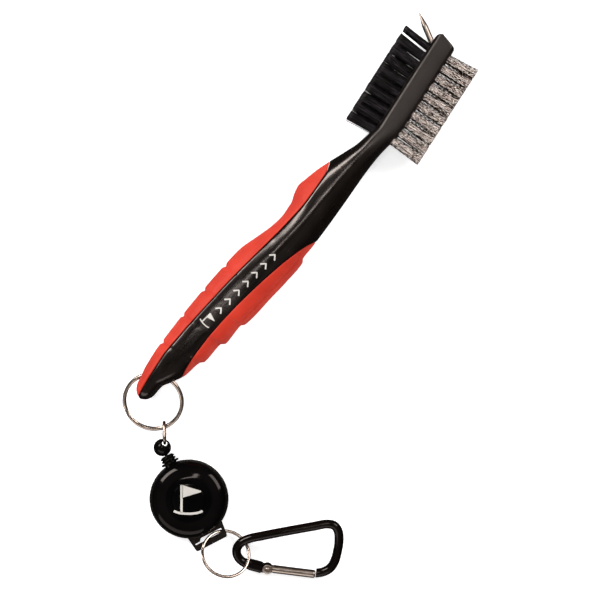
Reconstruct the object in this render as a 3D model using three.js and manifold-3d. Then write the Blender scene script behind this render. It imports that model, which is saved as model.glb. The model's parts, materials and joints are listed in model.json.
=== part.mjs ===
// A golf club groove brush on a retractable cord, with its reel, split rings and a small carabiner.
//
// Millimetres, +Z up. The object lies flat on a table, z = 0. +Y runs along the head towards its tip, the
// wire bristles point to +X and the nylon bristles to -X. The origin is on the face that the head rests on,
// on the head's centre line, at the root of the head.
import * as THREE from "three";
import { mergeVertices } from "three/addons/utils/BufferGeometryUtils.js";
import Module from "manifold-3d";

const wasm = await Module();
wasm.setup();

// ---- Driving dimensions ----
const GAP = 0.3; // between two pieces that touch or are cut to fit
const WIDTH = 20; // of the handle and head across z, with the handle lying on its side
const MID = WIDTH / 2;

const HEAD_LENGTH = 50; // root to the lower corner of the slanted tip
const HEAD_BEVEL = 0.8;
const HANDLE_BEVEL = 2.4;
// [y, half the thickness across z]: the head is flat, the neck thin, the grip full and the tail thin again.
const HALF_THICKNESS = [
  [-4, 10], [-14, 9], [-28, 8.3], [-44, 8.8], [-64, 9.8], [-84, 10], [-108, 9.7], [-124, 8.6], [-134, 7.3],
  [-144, 5.6],
];

const TUFT_ROWS = 10; // along the head, on each face
const TUFTS_DEEP = 4; // across the head, in each row
const TUFT_RADIUS = 1.95;
const TUFT_PITCH_Z = 3.5;
const TUFT_PITCH_Y = 4.45;
const FIRST_TUFT_Y = 4.8;
const TUFT_MID_Z = 11.4;
const TUFT_TIP_X = 17.6;
const TUFT_ROOT_X = 2.6;

const PICK_PIVOT = [0.4, 44.9];
const PICK_LENGTH = 19.9;
const PICK_ANGLE = 145.8; // degrees from +X, swung out to the nylon side
const PICK_RADIUS = 1.2;
const PICK_Z = 1.75;
const PICK_POINT = 6;
const PICK_EYE_RADIUS = 2.5;
const PICK_EYE_HALF = 1.1; // half its thickness
const PICK_RECESS = 3.3; // depth of the recess in the head that the pick folds into
const PIVOT_PIN_RADIUS = 0.9;
const PIN_HEAD_RADIUS = 2;

const TAIL_HOLE = [-24.93, -128.74, MID];
const TAIL_HOLE_TURN = 19.6; // degrees from +X to the hole's axis
const TAIL_HOLE_RADIUS = 2.8;

const BIG_RING_RADIUS = 11.9; // of the wire's centre line
const BIG_RING_WIRE = [1.5, 1.9]; // across and along the ring's axis: two flat coils lie on each other
const BIG_RING_TILT = 17.5; // degrees that its far side hangs down
const RING_SAG = 1.2; // how far the ring's arc bows inside the tail hole, halved

const LINK_AROUND = -55.6; // degrees round the big ring, from its own x, to where the jump ring hangs
const LINK_TURN = -55.3; // degrees from +X to the jump ring's long direction
const LINK_RISE = 14.5; // degrees that it rises towards the bead
const LINK_WIRE = 1.1;
const LINK_LENGTH = 8.9; // of the wire's centre line
const LINK_HEIGHT = 5.6;
const LINK_HOLD = 1.95; // from the big ring's wire to the jump ring's wire

const REEL_CENTRE = [12.6, -164.35, 0];
const REEL_TURN = -30; // degrees from +X to the reel's axis, from the cord side to the lug
const REEL_RADIUS = 16.3;
const FRONT_RADIUS = 15.7; // the front case stands a little inside the back case
const CASE_WALL_RADIUS = 14.9; // inside the case walls
const REEL_SPLIT = 5.3; // height of the line between the case halves
const REEL_TOP = 11.6;
const CORD_Z = 5.6;
const CORD_RADIUS = 0.6;
const POST_RADIUS = 2.3;
const SCREW_RADIUS = 0.9;
const NOZZLE_RADIUS = 2.6;
const NOZZLE_RIBS = [[3.85, 16.5], [3.15, 17.8], [3.05, 18.9]]; // [radius, from the reel's centre]
const BEAD_RADIUS = 3.6;
const BEAD_X = -23.9; // from the reel's centre, along the reel's axis
const EYE_THICK = 1.4;
const EYE_SHOULDER = 0.85; // from the bead's centre to where the eye's flats start
const EYE_HOLE_RADIUS = 1.1;
const DRUM_RADIUS = 8.6;
const FLANGE_RADIUS = 13.4;
const WINDING_RADIUS = 11.4;

const LUG_Z = [4.2, 5.2];
const LUG_END = 20.9; // from the reel's centre
const LUG_HALF_WIDTH = [7.95, 7.05]; // at the case and at the end
const SLOT_X = [16.5, 18.9];
const SLOT_HALF = 6.5;

const CLIP_RING_CENTRE = [37.5, -175, 6.65];
const CLIP_RING_RADIUS = 9.8;
const CLIP_RING_WIRE = [1.2, 1.2];
const CLIP_RING_TILT = -27; // degrees about X

const ROD_RADIUS = 1.87; // of the carabiner
const CARABINER_HEIGHT = 2.95; // of the rod's centre line where the small ring crosses over it
const CARABINER_TILT = [12, 7]; // degrees about X and Y: the ring props up its long side
const CARABINER_PIVOT = [46.3, -174.5]; // the point that it is tilted about
const GATE_PIVOT = [55.4, -171.3];
const GATE_ANGLE = 24.6; // degrees from +X
const GATE_LENGTH = 19.9;
const GATE_RADIUS = 1.7;
const GATE_BORE = 1.15;
const GATE_FORK_RADIUS = 2.05;
const RIVET_RADIUS = 0.55;
const RIVET_HOLE_RADIUS = RIVET_RADIUS + GAP;

const ROUND = 36; // segments round a large turned piece
const deg = THREE.MathUtils.degToRad;

// ---- Materials ----
function finish(color, roughness, metalness = 0) {
  return new THREE.MeshStandardMaterial({ color, roughness, metalness });
}

const blackPlastic = finish(0x1b1a1b, 0.45);
const glossPlastic = finish(0x0a0a0b, 0.12);
const greyPlastic = finish(0x3a3634, 0.5);
const redRubber = finish(0xc02323, 0.6);
const nylon = finish(0x17161a, 0.4);
const wire = finish(0x9a8878, 0.35, 0.9);
const steel = finish(0xb9aea4, 0.25, 1);
const springSteel = finish(0x8d949c, 0.3, 1);
const blackPaint = finish(0x101011, 0.3, 0.4);
const cordFibre = finish(0x141414, 0.9);
const badgePrint = finish(0xd8d8d4, 0.4);

// ---- Solids ----
function solid(geometry) {
  const g = geometry.clone();
  g.deleteAttribute("normal");
  g.deleteAttribute("uv");
  const merged = mergeVertices(g, 1e-4);
  return new wasm.Manifold(
    new wasm.Mesh({
      numProp: 3,
      vertProperties: merged.attributes.position.array,
      triVerts: new Uint32Array(merged.index.array),
    }),
  );
}

function geometryOf(body) {
  const mesh = body.getMesh();
  const g = new THREE.BufferGeometry();
  g.setAttribute("position", new THREE.BufferAttribute(mesh.vertProperties, 3));
  g.setIndex(new THREE.BufferAttribute(mesh.triVerts, 1));
  g.computeVertexNormals();
  return g;
}

// The largest of the bodies that a cut leaves.
function largest(body) {
  return body.decompose().reduce((a, b) => (a.volume() > b.volume() ? a : b));
}

function piece(name, shape, material) {
  const geometry = shape.isBufferGeometry ? shape : geometryOf(shape);
  const mesh = new THREE.Mesh(geometry, material);
  mesh.name = name;
  return mesh;
}

function box(low, high) {
  const size = high.map((v, i) => v - low[i]);
  return new THREE.BoxGeometry(...size).translate(...low.map((v, i) => v + size[i] / 2));
}

// A cylinder along z from low to high.
function rod(radius, low, high, segments = 16) {
  const g = new THREE.CylinderGeometry(radius, radius, high - low, segments);
  return g.rotateX(Math.PI / 2).translate(0, 0, (low + high) / 2);
}

// A body turned about z from a profile of [radius, z] points, listed upwards along its outside.
function turned(profile, segments = ROUND) {
  const points = profile.map(([r, z]) => new THREE.Vector2(r, z));
  return new THREE.LatheGeometry(points, segments).rotateX(Math.PI / 2);
}

// A ring of rectangular section about z.
function flatRing(radius, [across, high], segments = 40) {
  const [inner, outer] = [radius - across / 2, radius + across / 2];
  const half = high / 2;
  return turned([[inner, -half], [outer, -half], [outer, half], [inner, half], [inner, -half]], segments);
}

function plate(shape, low, high, curveSegments = 2, bevel = 0) {
  const g = new THREE.ExtrudeGeometry(shape, {
    depth: high - low - 2 * bevel,
    curveSegments,
    bevelEnabled: bevel > 0,
    bevelThickness: bevel,
    bevelSize: bevel,
    bevelOffset: -bevel,
    bevelSegments: 2,
  });
  return g.translate(0, 0, low + bevel);
}

const vectors = (points) => points.map(([x, y]) => new THREE.Vector2(x, y));

function disc(radius, segments) {
  const shape = new THREE.Shape();
  for (let i = 0; i < segments; i++) {
    const a = (2 * Math.PI * i) / segments;
    shape[i ? "lineTo" : "moveTo"](radius * Math.cos(a), radius * Math.sin(a));
  }
  return shape;
}

function tube(curve, radius, steps, sides) {
  return new THREE.ExtrudeGeometry(disc(radius, sides), { steps, extrudePath: curve, bevelEnabled: false });
}

// A coil about z from low to high.
function coil(radius, wireRadius, low, high, turns, stepsPerTurn = 10) {
  const points = [];
  const count = turns * stepsPerTurn;
  for (let i = 0; i <= count; i++) {
    const a = (2 * Math.PI * i) / stepsPerTurn;
    const z = low + ((high - low) * i) / count;
    points.push(new THREE.Vector3(radius * Math.cos(a), radius * Math.sin(a), z));
  }
  return tube(new THREE.CatmullRomCurve3(points), wireRadius, count, 4);
}

// ---- Handle ----
// Its outline in plan, from the head's root down the thumb side, round the tail and up the other side.
const THUMB_SIDE = [
  [[-6.3, 2], [-8, -4], [-10.7, -10], [-13.6, -16], [-16.2, -22], [-18.2, -28]],
  [[-19.2, -31.5], [-18.9, -34.5], [-17.8, -39.5], [-17.9, -44.5], [-19.3, -51], [-22, -58]],
  [[-25.2, -66], [-27.1, -76], [-28.6, -86], [-30, -97], [-31.2, -110], [-31.9, -121]],
];
const TAIL = [
  [[-31.8, -127], [-31, -134], [-29.6, -138], [-26.5, -139.7]],
  [[-23.6, -138.5], [-22.2, -135.4], [-21.6, -131], [-19.4, -127.8], [-16.6, -124]],
];
const FINGER_SIDE = [
  [[-12.8, -115], [-10.4, -104.5], [-8.2, -94], [-5.3, -84], [-2.6, -71], [-0.9, -60]],
  [[-0.6, -50], [0.2, -38], [0.8, -26], [1.2, -13], [2.2, -4], [4.2, 7]],
];
// The black stripe's edges, down its thumb side and up its finger side.
const STRIPE_DOWN = [
  [[-13.5, -16.5], [-12.3, -22], [-12.7, -34], [-14.6, -46.5], [-17.6, -61], [-21.1, -77]],
  [[-24.2, -94], [-26.6, -109], [-28, -121], [-28, -131], [-27.4, -143]],
];
const STRIPE_UP = [
  [[-16.6, -124], [-17.2, -117], [-16.5, -105], [-14.4, -91], [-10.8, -75], [-6.8, -61]],
  [[-3.4, -52], [-0.4, -46.8], [3, -44]],
];

function handleOutline() {
  const s = new THREE.Shape();
  s.moveTo(-4.6, 7);
  for (const points of [...THUMB_SIDE, ...TAIL, ...FINGER_SIDE]) s.splineThru(vectors(points));
  s.closePath();
  return s;
}

// The black stripe's outline. It runs past the handle where the stripe reaches the handle's own edge, and it
// is wider by margin on each side.
function stripeOutline(margin = 0) {
  const shifted = (points, by) => vectors(points.map(([x, y]) => [x + by, y]));
  const s = new THREE.Shape();
  s.moveTo(-20, 10);
  s.lineTo(-17 - margin, -13);
  for (const points of STRIPE_DOWN) s.splineThru(shifted(points, -margin));
  s.lineTo(-12 + margin, -143);
  s.lineTo(-14 + margin, -126);
  for (const points of STRIPE_UP) s.splineThru(shifted(points, margin));
  s.lineTo(10, 10);
  s.closePath();
  return s;
}

// Turns a plate from the x-y plane so that its x runs along y, its y along z and its thickness along x.
function acrossX(geometry) {
  return geometry.applyMatrix4(new THREE.Matrix4().set(0, 0, 1, 0, 1, 0, 0, 0, 0, 1, 0, 0, 0, 0, 0, 1));
}

// The handle and head seen from the side, as a plate across x. Its x holds y and its y holds z.
function sideProfile() {
  const tip = 60;
  const top = HALF_THICKNESS.map(([y, half]) => [y, MID + half]);
  const bottom = HALF_THICKNESS.map(([y, half]) => [y, MID - half]).reverse();
  const s = new THREE.Shape();
  s.moveTo(tip, 0);
  s.lineTo(tip, WIDTH);
  s.lineTo(...top[0]);
  s.splineThru(vectors(top.slice(1)));
  s.lineTo(...bottom[0]);
  s.splineThru(vectors(bottom.slice(1)));
  s.closePath();
  return acrossX(plate(s, -60, 60, 1));
}

function headOutline() {
  const s = new THREE.Shape();
  s.moveTo(-4.6, -2);
  s.lineTo(-5.3, 3);
  s.lineTo(-4.7, 49.6);
  s.quadraticCurveTo(-4.5, 51, -2.7, 51.8);
  s.lineTo(3.6, HEAD_LENGTH);
  s.quadraticCurveTo(4.7, 49.6, 4.7, 48);
  s.lineTo(4.8, 6.5);
  s.quadraticCurveTo(4.6, 3, 3.1, 1);
  s.lineTo(2.4, -2);
  s.closePath();
  return s;
}

// One row's outline in the y-z plane: touching tufts, each a bulge. Its x holds y and its y holds z.
function tuftOutline(margin = 0) {
  const s = new THREE.Shape();
  const bulge = TUFT_RADIUS * 0.75 + margin;
  const waist = TUFT_RADIUS * 0.35 + margin;
  const first = -((TUFTS_DEEP - 1) / 2) * TUFT_PITCH_Z;
  s.moveTo(-waist, first - TUFT_PITCH_Z / 2 - margin);
  for (const side of [1, -1]) {
    s.lineTo(side * waist, side * (first - TUFT_PITCH_Z / 2 - margin));
    for (let i = 0; i < TUFTS_DEEP; i++) {
      const mid = first + i * TUFT_PITCH_Z;
      const end = mid + TUFT_PITCH_Z / 2 + (i === TUFTS_DEEP - 1 ? margin : 0);
      s.quadraticCurveTo(side * (2 * bulge - waist), side * mid, side * waist, side * end);
    }
  }
  s.closePath();
  return s;
}

// One row as a solid along x on the side +1 (wire) or -1 (nylon), from root to tip.
function tuftRow(side, row, root, tip, margin = 0) {
  const g = acrossX(plate(tuftOutline(margin), root, tip));
  if (side < 0) g.rotateZ(Math.PI);
  return g.translate(0, FIRST_TUFT_Y + row * TUFT_PITCH_Y, TUFT_MID_Z);
}

function tailHole() {
  const hole = rod(TAIL_HOLE_RADIUS, -WIDTH, WIDTH, 20).rotateY(Math.PI / 2);
  return hole.rotateZ(deg(TAIL_HOLE_TURN)).translate(...TAIL_HOLE);
}

// The recess in the head's lower face that the pick folds into. It is open to the nylon side and the tip.
function pickRecess() {
  const wall = 3.2;
  return box([-9, PICK_PIVOT[1] - PICK_LENGTH - 2, -1], [wall, 60, PICK_RECESS]);
}

function brushPieces() {
  const [pivotX, pivotY] = PICK_PIVOT;
  const pinTop = 8.7;
  const handle = solid(plate(handleOutline(), 0, WIDTH, 2, HANDLE_BEVEL))
    .intersect(solid(sideProfile()))
    .subtract(solid(tailHole()));
  const stripe = solid(plate(stripeOutline(), -1, WIDTH + 1));
  const wideStripe = solid(plate(stripeOutline(GAP), -1, WIDTH + 1));
  let core = handle.intersect(stripe).add(solid(plate(headOutline(), 0, WIDTH, 2, HEAD_BEVEL)));
  core = core.subtract(solid(pickRecess()));
  const pinHole = rod(PIVOT_PIN_RADIUS + GAP, -1, pinTop + GAP, 12).translate(pivotX, pivotY, 0);
  core = core.subtract(solid(pinHole));
  const rows = [...Array(TUFT_ROWS).keys()];
  for (const side of [1, -1])
    for (const row of rows) core = core.subtract(solid(tuftRow(side, row, TUFT_ROOT_X - GAP, 8, GAP)));

  const grips = handle.subtract(wideStripe).decompose();
  const pair = grips.sort((a, b) => b.volume() - a.volume()).slice(0, 2);
  pair.sort((a, b) => a.boundingBox().min[0] - b.boundingBox().min[0]);
  const pieces = [
    piece("handle_core", largest(core), blackPlastic),
    piece("grip_back", pair[0], redRubber),
    piece("grip_front", pair[1], redRubber),
  ];
  for (const [side, kind, material] of [[-1, "nylon", nylon], [1, "wire", wire]])
    for (const row of rows) {
      const name = `${kind}_tuft_row_${String(row + 1).padStart(2, "0")}`;
      pieces.push(piece(name, tuftRow(side, row, TUFT_ROOT_X, TUFT_TIP_X), material));
    }
  const pin = turned([
    [0, 0.05], [PIN_HEAD_RADIUS, 0.05], [PIN_HEAD_RADIUS, 0.35], [PIVOT_PIN_RADIUS, 0.35],
    [PIVOT_PIN_RADIUS, pinTop], [0, pinTop],
  ], 12);
  pieces.push(piece("pick_pivot_pin", pin.translate(pivotX, pivotY, 0), steel));
  return pieces;
}

function pickPiece() {
  const blunt = 0.12;
  const shaft = turned([
    [0, 0], [PICK_RADIUS, 0], [PICK_RADIUS, PICK_LENGTH - PICK_POINT], [blunt, PICK_LENGTH],
    [0, PICK_LENGTH],
  ], 12);
  const eye = rod(PICK_EYE_RADIUS, -PICK_EYE_HALF, PICK_EYE_HALF, 16);
  const pinHole = rod(PIVOT_PIN_RADIUS + 0.2, -3, 3, 12);
  const body = solid(shaft.rotateY(Math.PI / 2)).add(solid(eye)).subtract(solid(pinHole));
  const mesh = piece("groove_pick", body, steel);
  mesh.position.set(...PICK_PIVOT, PICK_Z);
  mesh.rotation.z = deg(PICK_ANGLE);
  return mesh;
}

// ---- Rings ----
// The big ring's own frame: x along the tail hole, -y out to the ring's far side, its origin in the hole.
function bigRingFrame() {
  const frame = new THREE.Group();
  frame.rotation.set(0, 0, deg(TAIL_HOLE_TURN));
  frame.position.set(...TAIL_HOLE);
  const tilted = new THREE.Group();
  tilted.rotation.x = deg(BIG_RING_TILT);
  frame.add(tilted);
  return [frame, tilted];
}

function handleRing() {
  const [frame, tilted] = bigRingFrame();
  const ring = piece("handle_split_ring", flatRing(BIG_RING_RADIUS, BIG_RING_WIRE), steel);
  ring.position.y = -(BIG_RING_RADIUS - RING_SAG);
  tilted.add(ring);
  return frame;
}

// The point of the big ring's wire that the jump ring hangs on, in the object's frame.
function linkPoint() {
  const around = deg(LINK_AROUND);
  const [frame, tilted] = bigRingFrame();
  const mark = new THREE.Object3D();
  mark.position.set(BIG_RING_RADIUS * Math.cos(around), BIG_RING_RADIUS * Math.sin(around), 0);
  mark.position.y -= BIG_RING_RADIUS - RING_SAG;
  tilted.add(mark);
  frame.updateMatrixWorld(true);
  return mark.getWorldPosition(new THREE.Vector3());
}

// A stadium of wire in the x-z plane, slit at its middle, from x = 0 to LINK_LENGTH.
function jumpRing() {
  const half = LINK_HEIGHT / 2;
  const slit = 0.1;
  const at = (x, z) => new THREE.Vector3(x, 0, z);
  const points = [at(LINK_LENGTH / 2 - slit, half)];
  for (const [middle, start] of [[half, 90], [LINK_LENGTH - half, -90]])
    for (let i = 0; i <= 6; i++) {
      const a = deg(start + 30 * i);
      points.push(at(middle + half * Math.cos(a), half * Math.sin(a)));
    }
  points.push(at(LINK_LENGTH / 2 + slit, half));
  return tube(new THREE.CatmullRomCurve3(points, false, "centripetal"), LINK_WIRE / 2, 32, 6);
}

function linkGroup() {
  const group = new THREE.Group();
  group.position.copy(linkPoint());
  group.rotation.set(0, deg(-LINK_RISE), deg(LINK_TURN), "ZYX");
  const ring = piece("jump_ring", jumpRing(), steel);
  ring.position.x = -LINK_HOLD;
  group.add(ring);
  return group;
}

// Where the jump ring's far wire passes through the bead's eye, in the object's frame.
function eyePoint() {
  const group = linkGroup();
  const mark = new THREE.Object3D();
  mark.position.x = LINK_LENGTH - LINK_HOLD;
  group.add(mark);
  group.updateMatrixWorld(true);
  return mark.getWorldPosition(new THREE.Vector3());
}

// ---- Reel ----
// The reel's own frame: centre at the origin, x towards the lug, -x towards the bead.
const reelFrame = new THREE.Group();
reelFrame.position.set(...REEL_CENTRE);
reelFrame.rotation.z = deg(REEL_TURN);
reelFrame.updateMatrixWorld(true);

function beadBody() {
  const eye = reelFrame.worldToLocal(eyePoint());
  const toEye = Math.atan2(eye.y, eye.x - BEAD_X);
  const placed = (geometry) => solid(geometry.translate(BEAD_X, 0, CORD_Z));
  let body = placed(new THREE.SphereGeometry(BEAD_RADIUS, 20, 12).rotateX(Math.PI / 2));
  // The side towards the jump ring is cut to a flat eye.
  for (const [low, high] of [[EYE_THICK / 2, 5], [-5, -EYE_THICK / 2]])
    body = body.subtract(placed(box([EYE_SHOULDER, -5, low], [6, 5, high]).rotateZ(toEye)));
  body = body.subtract(solid(rod(EYE_HOLE_RADIUS, 0, 12, 12).translate(eye.x, eye.y, 0)));
  const bore = rod(CORD_RADIUS + GAP, 0, 5, 10).rotateY(Math.PI / 2).translate(0.4, 0, 0);
  return body.subtract(placed(bore));
}

function lugShape() {
  const s = new THREE.Shape();
  const [wide, narrow] = LUG_HALF_WIDTH;
  const corner = 0.9;
  s.moveTo(14.2, -wide);
  s.lineTo(LUG_END - corner, -narrow);
  s.quadraticCurveTo(LUG_END, -narrow, LUG_END, -narrow + corner);
  s.lineTo(LUG_END, narrow - corner);
  s.quadraticCurveTo(LUG_END, narrow, LUG_END - corner, narrow);
  s.lineTo(14.2, wide);
  s.closePath();
  const slot = new THREE.Path();
  const round = 0.7;
  const [near, far] = SLOT_X;
  slot.moveTo(near, -SLOT_HALF + round);
  slot.lineTo(near, SLOT_HALF - round);
  slot.quadraticCurveTo(near, SLOT_HALF, near + round, SLOT_HALF);
  slot.lineTo(far - round, SLOT_HALF);
  slot.quadraticCurveTo(far, SLOT_HALF, far, SLOT_HALF - round);
  slot.lineTo(far, -SLOT_HALF + round);
  slot.quadraticCurveTo(far, -SLOT_HALF, far - round, -SLOT_HALF);
  slot.lineTo(near + round, -SLOT_HALF);
  slot.quadraticCurveTo(near, -SLOT_HALF, near, -SLOT_HALF + round);
  s.holes.push(slot);
  return s;
}

function nozzleOpening() {
  const opening = rod(NOZZLE_RADIUS + GAP, -REEL_RADIUS - 2, -13.5, 16).rotateY(Math.PI / 2);
  return solid(opening.translate(0, 0, CORD_Z));
}

function backCase() {
  const hole = SCREW_RADIUS + GAP;
  const [floor, bossRadius, bossTop, postTop] = [1.3, 3.7, 2.9, 8];
  const [pocketRadius, pocketTop] = [3, 1.6]; // for the screw's head
  const cup = turned([
    [hole, pocketTop], [pocketRadius, pocketTop], [pocketRadius, 0], [14.6, 0], [15.8, 0.9],
    [REEL_RADIUS, REEL_SPLIT], [CASE_WALL_RADIUS, REEL_SPLIT], [CASE_WALL_RADIUS, floor],
    [bossRadius, floor], [bossRadius, bossTop], [POST_RADIUS, bossTop], [POST_RADIUS, postTop],
    [hole, postTop], [hole, pocketTop],
  ]);
  const lug = solid(plate(lugShape(), ...LUG_Z)).subtract(solid(rod(CASE_WALL_RADIUS + 0.3, 0, 8, ROUND)));
  return largest(solid(cup).add(lug).subtract(nozzleOpening()));
}

function frontCase() {
  const low = REEL_SPLIT + GAP;
  const hole = SCREW_RADIUS + GAP;
  const [badgeRadius, badgeFloor, roof, postEnd] = [7, 10.9, 9.9, 8.3];
  const shell = turned([
    [CASE_WALL_RADIUS, low], [FRONT_RADIUS, low], [FRONT_RADIUS - 0.1, 7.4], [15.1, 9.1], [13.7, 10.4],
    [12, 11], [10.6, REEL_TOP - 0.3], [8, REEL_TOP], [badgeRadius, REEL_TOP], [badgeRadius, badgeFloor],
    [0, badgeFloor], [0, 10.4], [hole, 10.4], [hole, postEnd], [POST_RADIUS, postEnd], [POST_RADIUS, roof],
    [12.2, roof], [14.2, 8.6], [CASE_WALL_RADIUS, 7], [CASE_WALL_RADIUS, low],
  ]);
  return largest(solid(shell).subtract(nozzleOpening()));
}

// The ribbed sleeve that the cord comes out of. It is turned about z and then laid along -x.
function nozzle() {
  const bore = CORD_RADIUS + GAP;
  const [inside, end, waist, ribWidth, ribSlope] = [13.8, 20.15, 2.5, 0.85, 0.15];
  const profile = [[bore, inside], [NOZZLE_RADIUS, inside], [NOZZLE_RADIUS, NOZZLE_RIBS[0][1]]];
  for (const [radius, start] of NOZZLE_RIBS)
    profile.push(
      [radius, start + ribSlope], [radius, start + ribWidth],
      [waist, start + ribWidth + 0.1], [waist, start + ribWidth + 0.3],
    );
  profile.push([waist - 0.1, end], [bore, end], [bore, inside]);
  return turned(profile, 16).rotateY(-Math.PI / 2).translate(0, 0, CORD_Z);
}

// A drum between two flanges, open below for the power spring.
function spool() {
  const inside = DRUM_RADIUS - 1;
  const [bottom, lowFlange, highFlange, top, web, hub] = [1.9, 2.6, 8, 8.6, 7.4, 2.8];
  return turned([
    [inside, bottom], [FLANGE_RADIUS, bottom], [FLANGE_RADIUS, lowFlange], [DRUM_RADIUS, lowFlange],
    [DRUM_RADIUS, highFlange], [FLANGE_RADIUS, highFlange], [FLANGE_RADIUS, top], [hub, top], [hub, web],
    [inside, web], [inside, bottom],
  ]);
}

// A flat spiral strip about z, from the post out to the drum.
function powerSpring() {
  const [inner, outer, turns, thick, perTurn] = [2.9, 7, 5, 0.3, 14];
  const count = turns * perTurn;
  const at = (i, offset) => {
    const a = (2 * Math.PI * i) / perTurn;
    const r = inner + ((outer - inner) * i) / count + offset;
    return [r * Math.cos(a), r * Math.sin(a)];
  };
  const s = new THREE.Shape();
  s.moveTo(...at(0, 0));
  for (let i = 1; i <= count; i++) s.lineTo(...at(i, 0));
  for (let i = count; i >= 0; i--) s.lineTo(...at(i, thick));
  s.closePath();
  return plate(s, 3.2, 7);
}

function caseScrew() {
  const [headRadius, headBottom, headTop, end] = [2.6, 0.3, 1.3, 10];
  const profile = [
    [0, headBottom], [headRadius, headBottom], [headRadius, headTop], [SCREW_RADIUS, headTop],
    [SCREW_RADIUS, end], [0, end],
  ];
  const slot = solid(box([-2.2, -0.35, 0], [2.2, 0.35, 0.8]));
  return solid(turned(profile, 16)).subtract(slot);
}

function winding() {
  const [inner, outer, low, high] = [DRUM_RADIUS + GAP, WINDING_RADIUS, 2.9, 7.7];
  return turned([[inner, low], [outer, low], [outer, high], [inner, high], [inner, low]]);
}

function reelPieces() {
  const group = reelFrame.clone(false);
  const lead = rod(CORD_RADIUS, -22.6, -13.6, 8).rotateY(Math.PI / 2).translate(0, 0, CORD_Z);
  group.add(
    piece("cord_bead", beadBody(), glossPlastic),
    piece("cord_lead", lead, cordFibre),
    piece("reel_back_case", backCase(), greyPlastic),
    piece("reel_front_case", frontCase(), glossPlastic),
    piece("reel_badge", rod(6.7, 11.2, 11.7, ROUND), badgePrint),
    piece("reel_screw", caseScrew(), steel),
    piece("cord_nozzle", nozzle(), glossPlastic),
    piece("power_spring", powerSpring(), springSteel),
    piece("spool", spool(), greyPlastic),
    piece("cord_winding", winding(), cordFibre),
  );
  return group;
}

// ---- Carabiner ----
function clipRing() {
  const ring = piece("clip_split_ring", flatRing(CLIP_RING_RADIUS, CLIP_RING_WIRE), steel);
  ring.position.set(...CLIP_RING_CENTRE);
  ring.rotation.x = deg(CLIP_RING_TILT);
  return ring;
}

// The rod's centre line as it lies flat, from the nose round to the hinge end.
const ROD_LINE = [
  [72.6, -163.1], [75.6, -160.6], [77.3, -157.6], [77.3, -153.9], [75.9, -149.4], [73.9, -145.1],
  [71.5, -142], [68.9, -140.9], [66.1, -141.9], [62, -145.6], [54, -153], [46.2, -160.4], [42.4, -164.2],
  [40.4, -167.4], [40.2, -170.6], [42, -173.2], [45.2, -174.3], [48.6, -173.6],
];

// A group whose own x-y plane is the carabiner's, tilted about the point under the small ring's crossing.
function carabinerFrame() {
  const group = new THREE.Group();
  const [x, y] = CARABINER_PIVOT;
  group.position.set(x, y, CARABINER_HEIGHT);
  group.rotation.set(deg(CARABINER_TILT[0]), deg(CARABINER_TILT[1]), 0);
  const flat = new THREE.Group();
  flat.position.set(-x, -y, 0);
  group.add(flat);
  return [group, flat];
}

// In the gate's own frame x runs from the pivot to the free end.
function gatePlaced(geometry) {
  return geometry.rotateZ(deg(GATE_ANGLE)).translate(...GATE_PIVOT, 0);
}

// The block at the hinge end, in the gate's own frame.
function hingeBlock() {
  const s = new THREE.Shape();
  s.moveTo(-8.6, -1.9);
  s.splineThru(vectors([[-6, -2.3], [-3, -2.35], [0, -2.2], [1.7, -1.4]]));
  s.splineThru(vectors([[1.9, 0], [1.7, 1.4], [0, 2.3], [-3, 2.35], [-6, 2.2], [-8.6, 1.7]]));
  s.closePath();
  return solid(gatePlaced(plate(s, -ROD_RADIUS, ROD_RADIUS, 1, 0.5)));
}

// The arc that the gate's free end sweeps, which the rod's nose is cut to.
function gateSweep() {
  const disc = solid(rod(GATE_LENGTH + GAP, -4, 4, 64).translate(...GATE_PIVOT, 0));
  return disc.subtract(solid(gatePlaced(box([-60, -60, -5], [15, 60, 5]))));
}

function rodBody() {
  const points = ROD_LINE.map(([x, y]) => new THREE.Vector3(x, y, 0));
  const line = new THREE.CatmullRomCurve3(points, false, "centripetal");
  // The hinge end is cut to a tongue that the gate's fork straddles.
  const tongue = 0.8;
  let body = solid(tube(line, ROD_RADIUS, 46, 8)).add(hingeBlock());
  for (const [low, high] of [[tongue, 4], [-4, -tongue]])
    body = body.subtract(solid(gatePlaced(box([-2.4, -4, low], [4, 4, high]))));
  body = body.subtract(solid(rod(RIVET_HOLE_RADIUS, -4, 4, 12).translate(...GATE_PIVOT, 0)));
  return largest(body.subtract(gateSweep()));
}

function gateBody() {
  const outer = rod(GATE_RADIUS, -1.9, GATE_LENGTH, 14).rotateY(Math.PI / 2);
  const fork = rod(GATE_FORK_RADIUS, -1.9, 1.9, 14);
  let body = solid(outer).intersect(solid(rod(GATE_LENGTH, -4, 4, 64))).add(solid(fork));
  // The fork's slot, and the bore that holds the spring and plunger.
  body = body.subtract(solid(box([-4, -4, -1.1], [2.6, 4, 1.1])));
  body = body.subtract(solid(rod(GATE_BORE, 2, 16, 12).rotateY(Math.PI / 2)));
  body = body.subtract(solid(rod(RIVET_HOLE_RADIUS, -4, 4, 12)));
  return gatePlaced(geometryOf(largest(body)));
}

function carabinerPieces() {
  const [group, flat] = carabinerFrame();
  const spring = coil(0.75, 0.2, 6.4, 15, 6, 8).rotateY(Math.PI / 2);
  const plunger = rod(0.85, 2.9, 6, 10).rotateY(Math.PI / 2);
  const rivet = rod(RIVET_RADIUS, -2.3, 2.3, 12).translate(...GATE_PIVOT, 0);
  flat.add(
    piece("carabiner_body", rodBody(), blackPaint),
    piece("gate_rivet", rivet, steel),
    piece("gate_tube", gateBody(), steel),
    piece("gate_spring", gatePlaced(spring), springSteel),
    piece("gate_plunger", gatePlaced(plunger), steel),
  );
  return group;
}

// ---- Assembly ----
const brush = new THREE.Group();
brush.add(...brushPieces(), pickPiece(), handleRing(), linkGroup());
brush.add(reelPieces(), clipRing(), carabinerPieces());

export default brush;
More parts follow.
